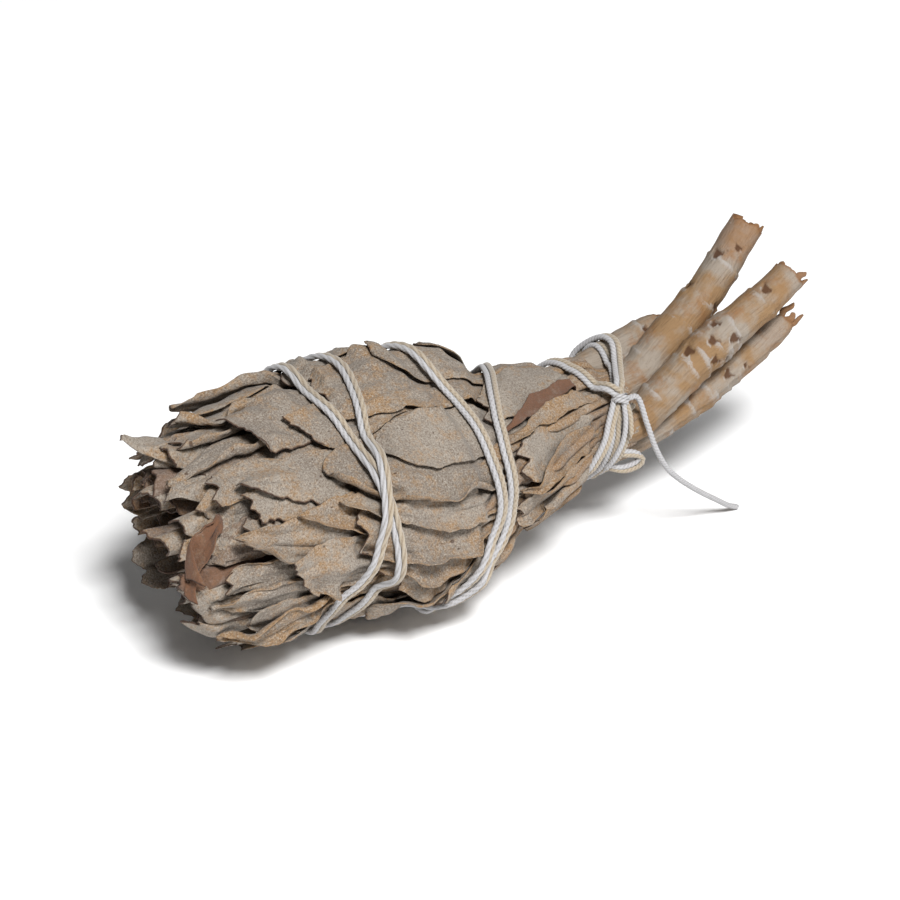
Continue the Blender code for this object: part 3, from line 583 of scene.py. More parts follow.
def curledLeaf(shoot, draw, tipX, tipTurn, tipRadius, rootTurn, rootRadius, width, curl, swing, extra):
    # one leaf rolled across its width, open and torn at the tip
    length = head["rootX"] - tipX + 2.0
    u = np.linspace(0, 1, int(length / head["step"]))[:, None]
    v = np.linspace(-1, 1, head["cols"])[None, :]
    blunt = "point" not in extra
    half = 0.5 * width * np.interp(u, (0, 0.35, 1), (0.78 if blunt else 0.05, 1.0, 0.75))
    half = half + 0.3 * wavy(draw, u * length, 6.0, 1.5) * np.clip(u / 0.2, 0.1, 1)
    tightness = curl * (1.0 + 0.6 * u)
    angle = v * half / tightness
    sideways = tightness * np.sin(angle)
    inwards = tightness * (1 - np.cos(angle))
    inwards = inwards - 0.5 * np.mean(inwards, axis=1, keepdims=True)
    swing = swing + head["lean"] * np.clip(wrapped(tipTurn - head["faceTurn"]), -90.0, 90.0)
    swung = np.radians(swing) * (1 - 0.7 * u)
    across = sideways * np.cos(swung) + inwards * np.sin(swung)
    depth = inwards * np.cos(swung) - sideways * np.sin(swung)
    jag = (0.7 if blunt else 0.1) * wavy(draw, v * width * 0.5, 6.0, 0.9)
    jag = jag + (1.0 if blunt else 0.3) * draw.uniform(-2.0, 2.0) * v
    x = tipX + length * u + jag * unit(1 - u / 0.35)
    radius = tipRadius + (rootRadius - tipRadius) * unit(u * 1.3)
    radius = radius + extra.get("hook", 0.0) * unit(1 - u / 0.18) ** 2 - depth
    radius = radius + 0.3 * wavy(draw, v * 4 + u * 9, 5, 2)
    centre = tipRadius + (rootRadius - tipRadius) * u
    turn = tipTurn + (rootTurn - tipTurn) * u + np.degrees(across / np.maximum(centre, 3.5))
    limit = sheltered(x, turn) + extra.get("free", 0.5) * unit(-(x + 44.0) / 3.0)
    over = np.clip((radius - limit) * 1.5, -30, 30)
    radius = np.maximum(radius - np.log1p(np.exp(over)) / 1.5, 0.8)
    inner = place(x, turn, radius)
    outer = inner + gridNormals(inner) * leaf["thick"]
    edgeGap = np.minimum((1 - np.abs(v)) * half + 0.25, u * length)
    ochre = extra.get("ochre", draw.uniform(0.1, 0.7))
    # the inner leaves that show are drawn paler than the outer ones: painted light on the open tips at the
    # head
    tone = extra.get("tone", draw.uniform(-0.3, 2.2))
    draw.random()   # spare, as above
    rim = unit(1.0 - edgeGap / 0.65)
    addSheet(shoot, outer, inner, rim, ochre=ochre, rust=extra.get("rust", 0.0), tone=tone)


def innerLeaves(shoot, draw):
    low, high = bunch["spans"][shoot]
    for row in head["seen"]:
        if low <= ownTurn(row[3]) < high:
            curledLeaf(shoot, draw, *row)
    for rootRadius, count, tipX, width in head["rings"]:
        own = max(1, round(count * (high - low) / 360.0))
        for k in range(own):
            turn = low + (high - low) * (k + 0.5) / own + draw.uniform(-6, 6)
            endX = tipX + draw.uniform(-1.5, 5.0) + 5.0 * math.exp(-((turn - 180.0) / 40.0) ** 2)
            endX += 2.6 * math.exp(-((turn - 265.0) / 50.0) ** 2)
            curl = draw.uniform(1.5, 4.5) * draw.choice((-1, 1, 1))
            endRadius = rootRadius + draw.uniform(-1.5, 1.5)
            swing = draw.uniform(-50, 50)
            swayed = turn + draw.uniform(-8, 8)
            size = width * draw.uniform(0.75, 1.1)
            # the hidden ring leaves get a darker tone and some rust: painted shade deep inside the head
            shade = dict(tone=draw.uniform(-4.0, 0.0), rust=draw.uniform(0.0, 0.5))
            curledLeaf(shoot, draw, endX, swayed, endRadius, turn, rootRadius, size, curl, swing, shade)


leafDraw = np.random.default_rng(5)
for row, fine in allLeaves():
    layLeaf(row, leafDraw, fine)
for axis in (0, 1) * 3:
    bed.lowest = np.minimum(bed.lowest, beside(bed.lowest, axis, np.minimum))
for name in shoots:
    innerLeaves(name, leafDraw)
print("leaves laid", {name: patch.count for name, patch in shoots.items()})


def lengthAlong(points):
    return np.concatenate([[0.0], np.cumsum(np.linalg.norm(np.diff(points, axis=0), axis=1))])


def smoothLine(points, step):
    # even points on a smooth curve through the given ones
    p = np.array(points, float)
    ends = np.vstack([2 * p[0] - p[1], p, 2 * p[-1] - p[-2]])
    fine = []
    for k in range(len(p) - 1):
        a, b, c, d = ends[k:k + 4]
        for t in np.arange(0.0, 1.0, 0.05):
            first = 2 * b + (c - a) * t + (2 * a - 5 * b + 4 * c - d) * t ** 2
            fine.append(0.5 * (first + (3 * b - a - 3 * c + d) * t ** 3))
    fine = np.array(fine + [p[-1]])
    far = lengthAlong(fine[:, :3])
    count = max(2, int(round(far[-1] / step)) + 1)
    even = np.linspace(0.0, far[-1], count)
    return np.stack([np.interp(even, far, fine[:, k]) for k in range(fine.shape[1])], axis=1)


def blurLine(values, reach):
    weights = np.exp(-np.linspace(-2, 2, 2 * reach + 1) ** 2)
    padded = np.pad(values, reach, mode="edge")
    return np.convolve(padded, weights / weights.sum(), mode="valid")


def circle(sides):
    return np.linspace(0, 2 * math.pi, sides, endpoint=False)[None, :]


def frameAlong(line, up):
    ahead = np.gradient(line, axis=0)
    ahead /= np.linalg.norm(ahead, axis=1, keepdims=True)
    side = np.cross(ahead, up)
    side /= np.linalg.norm(side, axis=1, keepdims=True)
    return ahead, side, np.cross(side, ahead)


def ringTube(rings):
    # a closed tube through rings of points, each end ring folded onto its middle
    count, sides = rings.shape[:2]
    points = np.vstack([rings.reshape(-1, 3), rings[0].mean(0), rings[-1].mean(0)])
    i, j = np.meshgrid(np.arange(count - 1), np.arange(sides), indexing="ij")
    a = (i * sides + j).ravel()
    b = (i * sides + (j + 1) % sides).ravel()
    walls = np.stack([a, b, b + sides, a + sides], axis=1)
    j = np.arange(sides)
    k = (j + 1) % sides
    first = np.full(sides, count * sides)
    last = (count - 1) * sides
    near = np.stack([first, k, j, first], axis=1)
    far = np.stack([first + 1, last + j, last + k, first + 1], axis=1)
    return points, np.vstack([walls, near, far])


stem = dict(
    step=0.6,
    sides=40,
    # X, Y, Z and radius along each stem, from inside the bunch to the broken end
    lines=dict(
        shoot_upper=(
            (24, -3.5, 36.0, 2.2), (33, -1.8, 33.6, 2.4), (42, -0.4, 31.3, 2.9), (52, 0.2, 31.0, 3.8),
            (61.5, 0.3, 33.2, 4.4), (68.6, 0.9, 38.0, 4.5), (75.2, 1.7, 42.3, 4.4), (80.8, 2.6, 46.2, 4.1),
            (85.5, 3.3, 50.6, 3.9), (93.2, 5.0, 58.2, 3.7),
        ),
        shoot_middle=(
            (24, -9.0, 27.5, 2.4), (36, -8.0, 27.0, 2.8), (46, -7.6, 26.8, 3.2), (56, -7.6, 28.0, 3.8),
            (62, -7.5, 31.4, 4.2), (70, -7.4, 36.9, 4.2), (78.5, -7.2, 41.5, 4.3), (84.5, -7.0, 44.3, 4.1),
            (89.7, -6.8, 46.6, 3.9), (96.2, -6.4, 50.5, 3.7),
        ),
        shoot_lower=(
            (26, -2.5, 18.5, 2.4), (40, -2.8, 19.8, 2.8), (52, -3.2, 20.4, 3.1), (61, -3.5, 22.2, 3.5),
            (70, -3.5, 25.0, 3.6), (79.9, -3.5, 29.2, 3.4), (88, -3.3, 33.0, 3.4), (97.2, -3.0, 37.5, 2.9),
        ),
        shoot_short=(
            (28, 7.5, 32.0, 2.2), (40, 6.6, 34.4, 2.3), (50, 5.6, 35.2, 2.9), (57.4, 5.8, 35.8, 3.5),
            (65, 7.0, 36.8, 3.7), (73.6, 8.2, 38.2, 3.2),
        ),
    ),
    # edges of old leaf sheaths: distance back from the broken end, height
    joints=dict(
        shoot_upper=((10.3, 0.75), (19.0, 0.5), (27.0, 0.4), (35.5, 0.45)),
        shoot_middle=(
            (8.6, 0.7), (18.0, 0.45), (20.2, 0.55), (22.4, 0.55), (24.6, 0.55), (27.0, 0.5), (30.5, 0.4),
            (38.0, 0.4),
        ),
        shoot_lower=(
            (8.0, 0.4), (15.5, 0.4), (18.5, 0.5), (21.0, 0.55), (23.6, 0.5), (27.0, 0.4), (34.0, 0.4),
        ),
        shoot_short=((4.5, 0.4), (12.0, 0.4)),
    ),
    # leaf scars: distance back, turn round the stem from the camera side up, size
    scars=dict(
        shoot_upper=(
            (6.5, 38, 0.65), (9.6, 88, 1.0), (19.3, -14, 1.0), (18.4, 120, 0.8), (27.5, 200, 0.9),
            (9.0, 250, 0.8),
        ),
        shoot_middle=(
            (7.4, 67, 0.95), (20.6, 85, 0.8), (19.6, 17, 0.95), (23.4, 50, 0.85), (28.4, 76, 0.95),
            (25.6, 6, 0.85), (23.5, -30, 0.8), (12.0, 200, 0.8), (24.0, 220, 0.9),
        ),
        shoot_lower=((17.5, 28, 0.8), (13.2, 12, 0.5), (27.5, 70, 0.9), (22.0, 150, 0.8), (13.0, 230, 0.8)),
        shoot_short=((5.0, 60, 0.7), (11.0, 240, 0.8)),
    ),
    # how bare and tan the last 10 mm are
    tan=dict(shoot_upper=0.5, shoot_middle=0.1, shoot_lower=0.2, shoot_short=0.0),
    # splinters of each broken end: turn round the stem, length, width
    splinters=dict(
        shoot_upper=((20, 0.3, 3.4), (140, 0.1, 3.4), (262, 0.2, 3.4), (330, 1.0, 2.6)),
        shoot_middle=((100, 0.2, 3.4), (8, 1.9, 2.4), (220, 0.5, 3.2), (320, 1.5, 2.6)),
        shoot_lower=((75, 3.8, 1.9), (350, 4.0, 1.8), (30, 2.4, 2.6), (200, 1.6, 2.8)),
        shoot_short=((90, 1.0, 2.6), (270, 1.2, 2.4)),
    ),
)


def stemSkin(patch, shoot, draw):
    line = smoothLine(stem["lines"][shoot], stem["step"])
    ahead, side, over = frameAlong(line[:, :3], np.array([0.0, 0.0, 1.0]))
    thick = line[:, 3][:, None]
    far = (np.arange(len(line)) * stem["step"])[:, None]
    back = far[-1] - far
    a = circle(stem["sides"])
    radius = thick + 0.0 * a
    ridge = wavy(draw, np.cos(a) * 3.0 + 0.05 * far, 5.0, 1.2)
    lumps = wavy(draw, back + 2.5 * np.sin(a + draw.uniform(0, 6)), 13.0, 3.0)
    radius = radius * (1.0 + 0.05 * np.cos(2 * (a - draw.uniform(0, 3)))) + 0.10 * ridge + 0.22 * lumps
    crust = np.zeros_like(radius)
    scar = np.zeros_like(radius)
    for at, height in stem["joints"][shoot]:
        lean = draw.uniform(0, 6.28)
        away = back - at - 0.9 * np.cos(a - lean) - 0.25 * wavy(draw, a * 2.0, 6.28, 1.0)
        step = height * np.where(away > 0, np.exp(-away / 2.2), hump(away, 0.22))
        patchy = unit(0.55 + 0.6 * wavy(draw, a * 3.0, 9.0, 2.0))
        radius = radius + step * (0.4 + 0.6 * patchy)
        crust = np.maximum(crust, patchy * hump(np.maximum(away, 0), 1.3) * (away > -0.3))
    for at, turnAt, size in stem["scars"][shoot]:
        sideways = (a - math.radians(turnAt) + math.pi) % (2 * math.pi) - math.pi
        sideways = sideways * thick
        lengthways = back - at + 0.5 * sideways ** 2 / size
        wide = np.where(lengthways > 0, 1.5, 0.9)
        uneven = 1.0 + 0.25 * wavy(draw, a * 4.0 + back * 1.5, 5.0, 1.2)
        apart = np.hypot(sideways * wide * 0.75, lengthways) / (size * uneven)
        scar = np.maximum(scar, unit(1.6 - apart))
        lip = hump(apart - 1.5, 0.35) * (lengthways > 0)
        radius = radius + 0.25 * lip
        crust = np.maximum(crust, lip * 0.9)
    radius = radius - 0.45 * unit(scar * 1.4)
    ends = unit(1.0 - back / 5.0) ** 1.5
    tear = 1.0 * wavy(draw, np.cos(a) * 2.0 + np.sin(a), 4.0, 1.4) + 0.4 * wavy(draw, a * 3.0, 3.0, 0.8)
    push = ends * (tear - 0.6)
    across = np.cos(a)[..., None] * side[:, None] + np.sin(a)[..., None] * over[:, None]
    rings = line[:, None, :3] + radius[..., None] * across + push[..., None] * ahead[:, None]
    # the broken end bulges a little round its pith
    wall = rings[-1:] - across[-1:] * 0.8 + ahead[-1] * 0.25
    pith = rings[-1:] - across[-1:] * radius[-1:, :, None] * 0.62 + ahead[-1] * 0.5
    points, faces = ringTube(np.concatenate([rings, wall, pith]))
    inside = np.zeros(len(points) - radius.size)
    broken = unit(1.0 - back / 0.5) + 0.0 * a
    broken = np.maximum(broken, stem["tan"][shoot] * unit((10.0 - back) / 4.0))
    along = np.stack([far + 0 * a, radius * a, 0 * radius], axis=-1).reshape(-1, 3)
    patch.add(
        points, faces, crust=np.append(unit(crust), inside), scar=np.append(scar, inside),
        broken=np.append(broken, inside + 1.0), along=np.vstack([along, np.zeros((len(inside), 3))]),
    )
    return line[-1], ahead[-1], side[-1], over[-1]


def splinter(patch, draw, end, turnAt, length, width):
    last, ahead, side, over = end
    t = math.radians(turnAt)
    out = math.cos(t) * side + math.sin(t) * over
    wide = np.cross(ahead, out)
    foot = last[:3] + out * (last[3] - 1.1) - ahead * 3.5
    s = np.linspace(0, 1, 18)[:, None]
    path = foot + ahead * (3.5 + length) * s + out * (0.5 * s + draw.uniform(-0.4, 0.8) * s ** 3)
    path = path + wide * 0.5 * wavy(draw, s * 8, 6, 2)
    halfWide = 0.5 * width * np.interp(s, (0, 0.55, 0.93, 1), (1, 0.95, 0.5, 0.15))
    halfWide = halfWide * (1 + 0.25 * wavy(draw, s * 8, 4, 1))
    halfThick = 0.75 * np.interp(s, (0, 0.6, 1), (1, 0.8, 0.25))
    b = circle(14)
    thickness = np.sin(b) * halfThick * (1 + 0.3 * wavy(draw, b * 2 + s * 3, 4, 1))
    rings = path[:, None] + (np.cos(b) * halfWide)[..., None] * wide + thickness[..., None] * out
    points, faces = ringTube(rings)
    shade = np.append(np.repeat(np.interp(s[:, 0], (0.3, 0.6), (0.0, 0.85)), b.size), (0.0, 0.85))
    patch.add(points, faces, broken=shade, along=points * (1, 3, 3))


stemDraw = np.random.default_rng(21)
stems = {}
for name in stem["lines"]:
    patch = Patchwork("crust", "scar", "broken", "along")
    end = stemSkin(patch, name, stemDraw)
    for row in stem["splinters"][name]:
        splinter(patch, stemDraw, end, *row)
    stems[name] = patch.build("stem" + name[6:].capitalize())
    skin = patch.points[0]
    bed.cover(skin[skin[:, 0] < 62.0])
print("stems made")


stalk = dict(
    # leaf stalks drawn together at the neck: start X, start turn, end X, end turn, width
    rows=(
        (12, 62, 56, 44, 3.0), (16, 74, 57, 58, 2.6), (10, 84, 56, 72, 3.4), (15, 95, 57, 84, 2.6),
        (11, 104, 56, 96, 3.2), (18, 114, 57, 108, 2.6), (12, 125, 56, 120, 3.2), (16, 138, 57, 134, 2.8),
        (24, 30, 56, 22, 3.0), (28, 14, 57, 8, 2.6), (24, -6, 56, -12, 3.0), (26, -26, 57, -30, 2.8),
        (20, 155, 56, 150, 3.0), (22, -50, 56, -48, 3.2), (20, -75, 57, -72, 3.0), (22, -100, 56, -98, 3.2),
        (20, -125, 57, -124, 3.0), (24, -150, 56, -148, 3.2),
        (27, 79, 57, 64, 2.0), (30, 90, 58, 77, 1.8), (26, 100, 58, 90, 2.2), (31, 110, 57, 101, 1.7),
        (30, 57, 58, 44, 2.0), (28, 120, 58, 114, 2.0),
    ),
    under=18,          # how many lie under the neck leaves
    step=0.5,
    sides=12,
)


def layStalk(draw, startX, startTurn, endX, endTurn, width):
    # a stalk lies in the nearest hollow and over what is there already
    length = endX - startX
    u = np.linspace(0, 1, int(length / stalk["step"]) + 2)
    x = startX + length * u
    turn = startTurn + (endTurn - startTurn) * u + draw.uniform(-4, 4) * np.sin(math.pi * u)
    turn = turn + 1.5 * wavy(draw, x, 25.0, 9.0)
    half = 0.5 * width * np.interp(u, (0, 0.12, 0.4, 1), (0.4, 1.25, 1.0, 0.85))
    half = half * (1 + 0.12 * wavy(draw, x, 12.0, 4.0))
    high = 0.50 * half + 0.30
    near = np.degrees(half * 0.5 / np.maximum(girth(x), 9.0))
    flanks = 0.5 * (bed.read(bed.height, x, turn + near) + bed.read(bed.height, x, turn - near))
    radius = blurLine(np.maximum(bed.read(bed.height, x, turn), flanks), 6) + 0.35 * high
    radius = radius - (unit((u - 0.93) / 0.07) * 1.6 + unit((0.06 - u) / 0.06) * 0.8)
    b = circle(stalk["sides"])
    groove = 1.0 - 0.3 * draw.uniform(0, 1) * hump(b - math.pi / 2, 0.5)
    points, faces = ringTube(place(
        x[:, None] + 0 * b,
        turn[:, None] + np.degrees(np.cos(b) * half[:, None] / np.maximum(radius, 6.0)[:, None]),
        radius[:, None] + np.sin(b) * high[:, None] * groove,
    ))
    bed.cover(points)
    shoots[shootAt(ownTurn(0.5 * (startTurn + endTurn)))].add(
        points, faces, ochre=draw.uniform(0.8, 2.4), rust=draw.uniform(0, 0.25), tone=draw.uniform(-1, 1),
    )


for row in stalk["rows"][:stalk["under"]]:
    layStalk(leafDraw, *row)
for row in leaf["neck"]:
    layLeaf(row, leafDraw, True)
for row in stalk["rows"][stalk["under"]:]:
    layStalk(leafDraw, *row)
print("stalks laid")


twine = dict(
    thick=1.2,
    step=0.5,
    sides=18,
    press=0.55,        # how far the winding draws the leaves in
    ease=7,
    apart=40,          # steps along the line that can't cross each other
    beneath=(2246.0, 2300.0),   # where the line runs below the turns laid before it
    twist=2.6,         # length of one full twist
    plies=3,
    # X and turn of the doubled strand, from the knot round the neck, over the bunch and back
    route=(
        (52.5, 60), (50, 150), (54, 240), (57, 335), (53.5, 395), (50, 425), (47, 500), (49, 600),
        (58, 690), (56, 732), (50.5, 770), (46, 800), (42, 830), (38, 880), (34, 960), (29, 1050),
        (26, 1080), (21, 1110), (18.8, 1130), (17.8, 1150), (17.5, 1169), (16.2, 1181), (12.5, 1192),
        (7, 1206), (-2, 1222), (-10, 1236), (-17, 1252), (-20, 1290), (-19, 1340), (-16, 1385), (-14.5, 1413),
        (-15, 1439), (-14.3, 1453), (-13.5, 1468), (-13.5, 1484), (-13.4, 1495), (-13, 1502), (-12.5, 1511),
        (-12, 1520), (-12, 1532), (-12.3, 1543), (-13.5, 1552), (-16, 1572), (-19, 1600), (-17, 1660),
        (-11, 1712), (-6.5, 1757), (-5, 1780), (-5.5, 1793), (-7.5, 1809), (-9.5, 1824), (-11, 1840),
        (-12.8, 1853), (-14.3, 1866), (-16, 1880), (-17.5, 1891), (-19.5, 1902), (-22, 1911), (-23.5, 1930),
        (-21, 1965), (-14, 2010), (-5, 2060),
        (3, 2100), (9, 2135), (11, 2162), (12.8, 2178), (13.6, 2191), (14, 2203), (14.1, 2219), (14.3, 2231),
        (14.5, 2241), (14.2, 2252), (11.8, 2263), (7, 2279), (3, 2294), (1, 2310), (3, 2328), (9, 2345),
        (18, 2362), (28, 2385), (36, 2410), (43, 2470), (45.5, 2510),
        (47.5, 2550), (50.5, 2570),
    ),
    knot=dict(
        at=(50.6, 53.0, 13.6), turns=1.9,
        whiteEnd=(
            (51.0, -11.4, 37.6), (50.4, -13.4, 33.6), (49.4, -14.2, 29.6), (47.8, -13.4, 25.2),
            (46.8, -11.2, 21.6),
        ),
        loop=(
            (48.0, 112, 9.5), (51.0, 113, 11.2), (54.0, 116, 12.2), (55.6, 121, 13.0), (55.0, 128, 13.6),
            (52.0, 133, 13.0), (48.0, 136, 10.5),
        ),
        creamEnd=((51.4, -11.2, 37.6), (51.6, -13.0, 34.6), (51.4, -13.9, 31.6), (51.3, -14.1, 29.2)),
    ),
    # free end, from the knot down to the surface
    tail=(
        (51.6, -12.0, 37.4),
        (54.6, -11.6, 36.4), (55.8, -13.2, 31), (57.5, -14.2, 25), (60.5, -14.0, 19.5), (64, -13.4, 15.5),
        (68, -12.6, 11.8), (72, -11.6, 8.4), (76, -10.6, 5.2), (79.5, -9.8, 2.4), (82.4, -9.2, 0.75),
    ),
)


def windingLine():
    route = np.array(twine["route"], float)
    scaled = np.stack([route[:, 0], np.radians(route[:, 1]) * 20.0, 0 * route[:, 0]], axis=1)
    fine = smoothLine(scaled, twine["step"])
    x = blurLine(fine[:, 0], twine["ease"])
    turn = np.degrees(blurLine(fine[:, 1], twine["ease"]) / 20.0)
    over = 0.0
    dip = 0.6 * (x < -5) * hump(turn % 360 - 335.0, 25.0)
    for shift in (-1.2, -0.6, 0.0, 0.6, 1.2):
        leafy = bed.read(bed.height, x + shift, turn) - dip
        stemmy = bed.read(bed.wide, x + shift, turn) - 0.1
        over = over + np.where(x > 44.0, stemmy, leafy - 0.4) / 5.0
    over = blurLine(over, 9)
    radius = over - twine["press"] + 0.5 * twine["thick"]
    rise = twine["thick"] - 0.1
    low, high = twine["beneath"]
    rank = np.arange(len(x)) - 1e4 * ((turn > low) & (turn < high))
    order = np.argsort(rank)
    for done, k in enumerate(order):
        before = order[:done]
        before = before[np.abs(before - k) > twine["apart"]]
        if not len(before):
            continue
        gap = np.hypot(x[k] - x[before], np.radians(wrapped(turn[k] - turn[before])) * radius[k])
        close = gap < 2.0 * twine["thick"]
        if close.any():
            radius[k] = max(radius[k], radius[before][close].max() + rise)
    wide = radius.copy()
    for _ in range(3):
        wide = np.maximum(wide, beside(wide, 0, np.maximum))
    radius = np.maximum(blurLine(wide, 7), 0)
    down = np.maximum(-np.cos(np.radians(turn)), 0.05)
    radius = np.minimum(radius, (middle(x) - 0.15 - 0.5 * twine["thick"]) / down)
    return x, turn, radius


windX, windTurn, windRadius = windingLine()


def pressGrid():
    # how far the taut winding draws the leaves in
    lowest = np.full_like(bed.height, 99.0)
    reachX = np.arange(-8, 9)
    reachTurn = np.arange(-14, 15)
    for x, turn, radius in zip(windX, windTurn, windRadius):
        i0 = int(round((x - bed.lowX) / bed.stepX))
        j0 = int(round(turn / bed.stepTurn))
        i, j = np.meshgrid(i0 + reachX, j0 + reachTurn, indexing="ij")
        i = np.clip(i, 0, len(bed.xs) - 1)
        sideways = np.radians(j * bed.stepTurn - turn) * radius
        gap = np.hypot(bed.lowX + i * bed.stepX - x, sideways)
        cap = radius - 0.48 * twine["thick"] + 0.11 * np.maximum(gap - 1.3, 0) ** 2
        np.minimum.at(lowest, (i, j % len(bed.turns)), np.where(gap < 4.2, cap, 99.0))
    press = np.clip(bed.wide - lowest, 0, 4.0)
    for _ in range(2):
        for axis in (0, 1):
            press = 0.5 * press + 0.25 * beside(press, axis, np.add)
    return press


press = pressGrid()


def pressIn(points):
    # the taut winding draws whatever is under it towards the middle line
    x, turn, radius = unplace(points)
    draw = bed.read(press, x, turn) * unit(radius / 10.0)
    return place(x, turn, radius - draw)


def addStrand(rope, line, out, radius, turned=0.0, thin=0.0):
    # a twisted strand whose plies show as ridges, the grooves between them painted darker as shade
    side, over = frameAlong(line, out)[1:]
    far = lengthAlong(line)[:, None]
    a = circle(twine["sides"])
    phase = 2 * math.pi * far / twine["twist"] + turned
    bulge = np.abs(np.cos(0.5 * twine["plies"] * (a - phase)))
    ring = radius * (0.66 + 0.38 * bulge)
    if thin:
        ring = ring * np.clip((far[-1] - far) / thin, 0.25, 1)
    across = np.cos(a)[..., None] * side[:, None] + np.sin(a)[..., None] * over[:, None]
    points, faces = ringTube(line[:, None] + ring[..., None] * across)
    rope.add(points, faces, ply=np.append(bulge, (1, 1)))


def windingStrands():
    line = place(windX, windTurn, windRadius)
    out = place(windX, windTurn, windRadius + 1.0) - line
    side = frameAlong(line, out)[1]
    sway = 0.12 * np.sin(np.arange(len(line)) * twine["step"] / 31.0)
    half = 0.5 * twine["thick"] * 1.02
    for sign in (1, -1):
        shift = sign * half * (np.cos(sway)[:, None] * side + np.sin(sway)[:, None] * out)
        rope = Patchwork("ply")
        addStrand(rope, line + shift, out, 0.5 * twine["thick"], turned=sign)
        yield rope


def addKnot(whiteRope, creamRope):
    # two tight turns of the white strand round the crossing, a slack loop, and an end of each strand
    knot = twine["knot"]
    x, turn, radius = knot["at"]
    centre = place(x, turn, radius)
    out = place(x, turn, 1.0) - place(x, turn, 0.0)
    along = np.array([1.0, 0.0, 0.0])
    down = np.cross(out, along)
    down /= np.linalg.norm(down)
    t = np.linspace(0, 1, 90)[:, None]
    turned = 2 * math.pi * knot["turns"] * t + 0.6
    axis = down * 0.9 + along * 0.35
    axis /= np.linalg.norm(axis)
    wide = np.cross(axis, out)
    loop = centre + axis * (t - 0.5) * 1.6 + wide * 1.3 * np.cos(turned) + out * (0.5 + 0.95 * np.sin(turned))
    addStrand(whiteRope, loop, axis, 0.45 * twine["thick"])
    slack = place(*np.moveaxis(np.array(knot["loop"], float), -1, 0))
    for rope, shift in ((whiteRope, 0.0), (creamRope, 1.15)):
        bow = smoothLine(slack + np.array([0.55, -0.3, -0.75]) * shift, 0.4)
        addStrand(rope, bow, out, 0.46 * twine["thick"])
    for rope, points in ((whiteRope, knot["whiteEnd"]), (creamRope, knot["creamEnd"])):
        addStrand(rope, smoothLine(points, 0.4), out, 0.46 * twine["thick"], thin=1.2)


whiteRope, creamRope = windingStrands()
addKnot(whiteRope, creamRope)
white = whiteRope.build("twineWhite")
cream = creamRope.build("twineCream")
print("twine wound", len(windX))


def addCore(shoot):
    # packed leaves behind the ones that are modelled, coloured darker with a low tone and some rim colour:
    # painted shade in the gaps
    low, high = bunch["spans"][shoot]
    xs = np.array([-36, -34, -31, -26, -20, -12, -4, 4, 12, 20, 28, 36, 44, 50, 56.0])
    share = np.concatenate([[0.4, 0.7, 0.88], np.ones(10), [0.93, 0.72]])
    turns = np.linspace(low + 0.6, high - 0.6, 24)
    rings = []
    for x, s in zip(xs, share):
        bore = np.interp(x, (30, 38), (1.2, 6.4))
        outer = place(x, turns, (coreRadius(x, turns) - 0.15) * s)
        rings.append(np.vstack([outer, place(x, turns[::-1], bore + 0 * turns)]))
    shoots[shoot].add(*ringTube(np.array(rings)), rim=0.35, ochre=0.5, tone=-1.0, depth=1.0)


leaves = {}
for name, patch in shoots.items():
    addCore(name)
    patch.points = [pressIn(points) for points in patch.points]
    leaves[name] = patch.build("leaves" + name[6:].capitalize())
print("leaves pressed")


def rgba(colour):
    return (*colour, 1.0) if isinstance(colour, tuple) else colour


class Finish:
    # short hand for a material's nodes
    def __init__(self, name):
        self.material = bpy.data.materials.new(name)
        self.material.use_nodes = True
        self.tree = self.material.node_tree
        self.shader = self.tree.nodes["Principled BSDF"]
        self.coords = self.node("TexCoord", {}).outputs["Object"]

    def node(self, kind, inputs, **settings):
        made = self.tree.nodes.new("ShaderNode" + kind)
        for key, value in settings.items():
            setattr(made, key, value)
        for key, value in inputs.items():
            if isinstance(value, bpy.types.NodeSocket):
                self.tree.links.new(value, made.inputs[key])
            else:
                made.inputs[key].default_value = value
        return made

    def noise(self, scale, detail, rough, source=None, stretch=None):
        source = source or self.coords
        if stretch:
            source = self.node("Mapping", {"Vector": source, "Scale": stretch}).outputs["Vector"]
        inputs = {"Vector": source, "Scale": scale, "Detail": detail, "Roughness": rough}
        return self.node("TexNoise", inputs).outputs["Fac"]

    def note(self, name, output="Fac"):
        return self.node("Attribute", {}, attribute_name=name).outputs[output]

    def ramp(self, value, low, high):
        return self.node("MapRange", {"Value": value, "From Min": low, "From Max": high}).outputs["Result"]

    def math(self, kind, a, b):
        return self.node("Math", {0: a, 1: b}, operation=kind).outputs[0]

    def plus(self, value, more, amount):
        return self.math("ADD", value, self.math("MULTIPLY", more, amount))

    def uneven(self, value, noise, amount):
        return self.plus(value, self.math("SUBTRACT", noise, 0.5), amount)

    def mix(self, share, a, b):
        # the colour sockets of a mix node are 6 and 7, and 2 on the way out
        return self.node("Mix", {0: share, 6: rgba(a), 7: rgba(b)}, data_type="RGBA").outputs[2]

    def stain(self, colour, other, value, low, high, share):
        # the other colour comes in as the value goes from low to high
        return self.mix(self.math("MULTIPLY", self.ramp(value, low, high), share), colour, other)

    def bump(self, value, strength, distance, before=None):
        inputs = {"Height": value, "Strength": strength, "Distance": distance}
        if before:
            inputs["Normal"] = before
        return self.node("Bump", inputs).outputs["Normal"]

    def done(self, colour, roughness, normal, sheen=0.0):
        self.tree.links.new(colour, self.shader.inputs["Base Color"])
        self.tree.links.new(normal, self.shader.inputs["Normal"])
        self.shader.inputs["Roughness"].default_value = roughness
        self.shader.inputs["Specular IOR Level"].default_value = 0.25
        if sheen:
            self.shader.inputs["Sheen Weight"].default_value = sheen
            self.shader.inputs["Sheen Roughness"].default_value = 0.6
        return self.material


leafFinish = dict(
    grey=(0.251, 0.217, 0.179), shade=(0.180, 0.150, 0.122), pale=(0.330, 0.298, 0.257),
    ochre=(0.240, 0.137, 0.056), rust=(0.118, 0.050, 0.026), rim=(0.040, 0.017, 0.008),
    speck=(0.088, 0.056, 0.034),
)


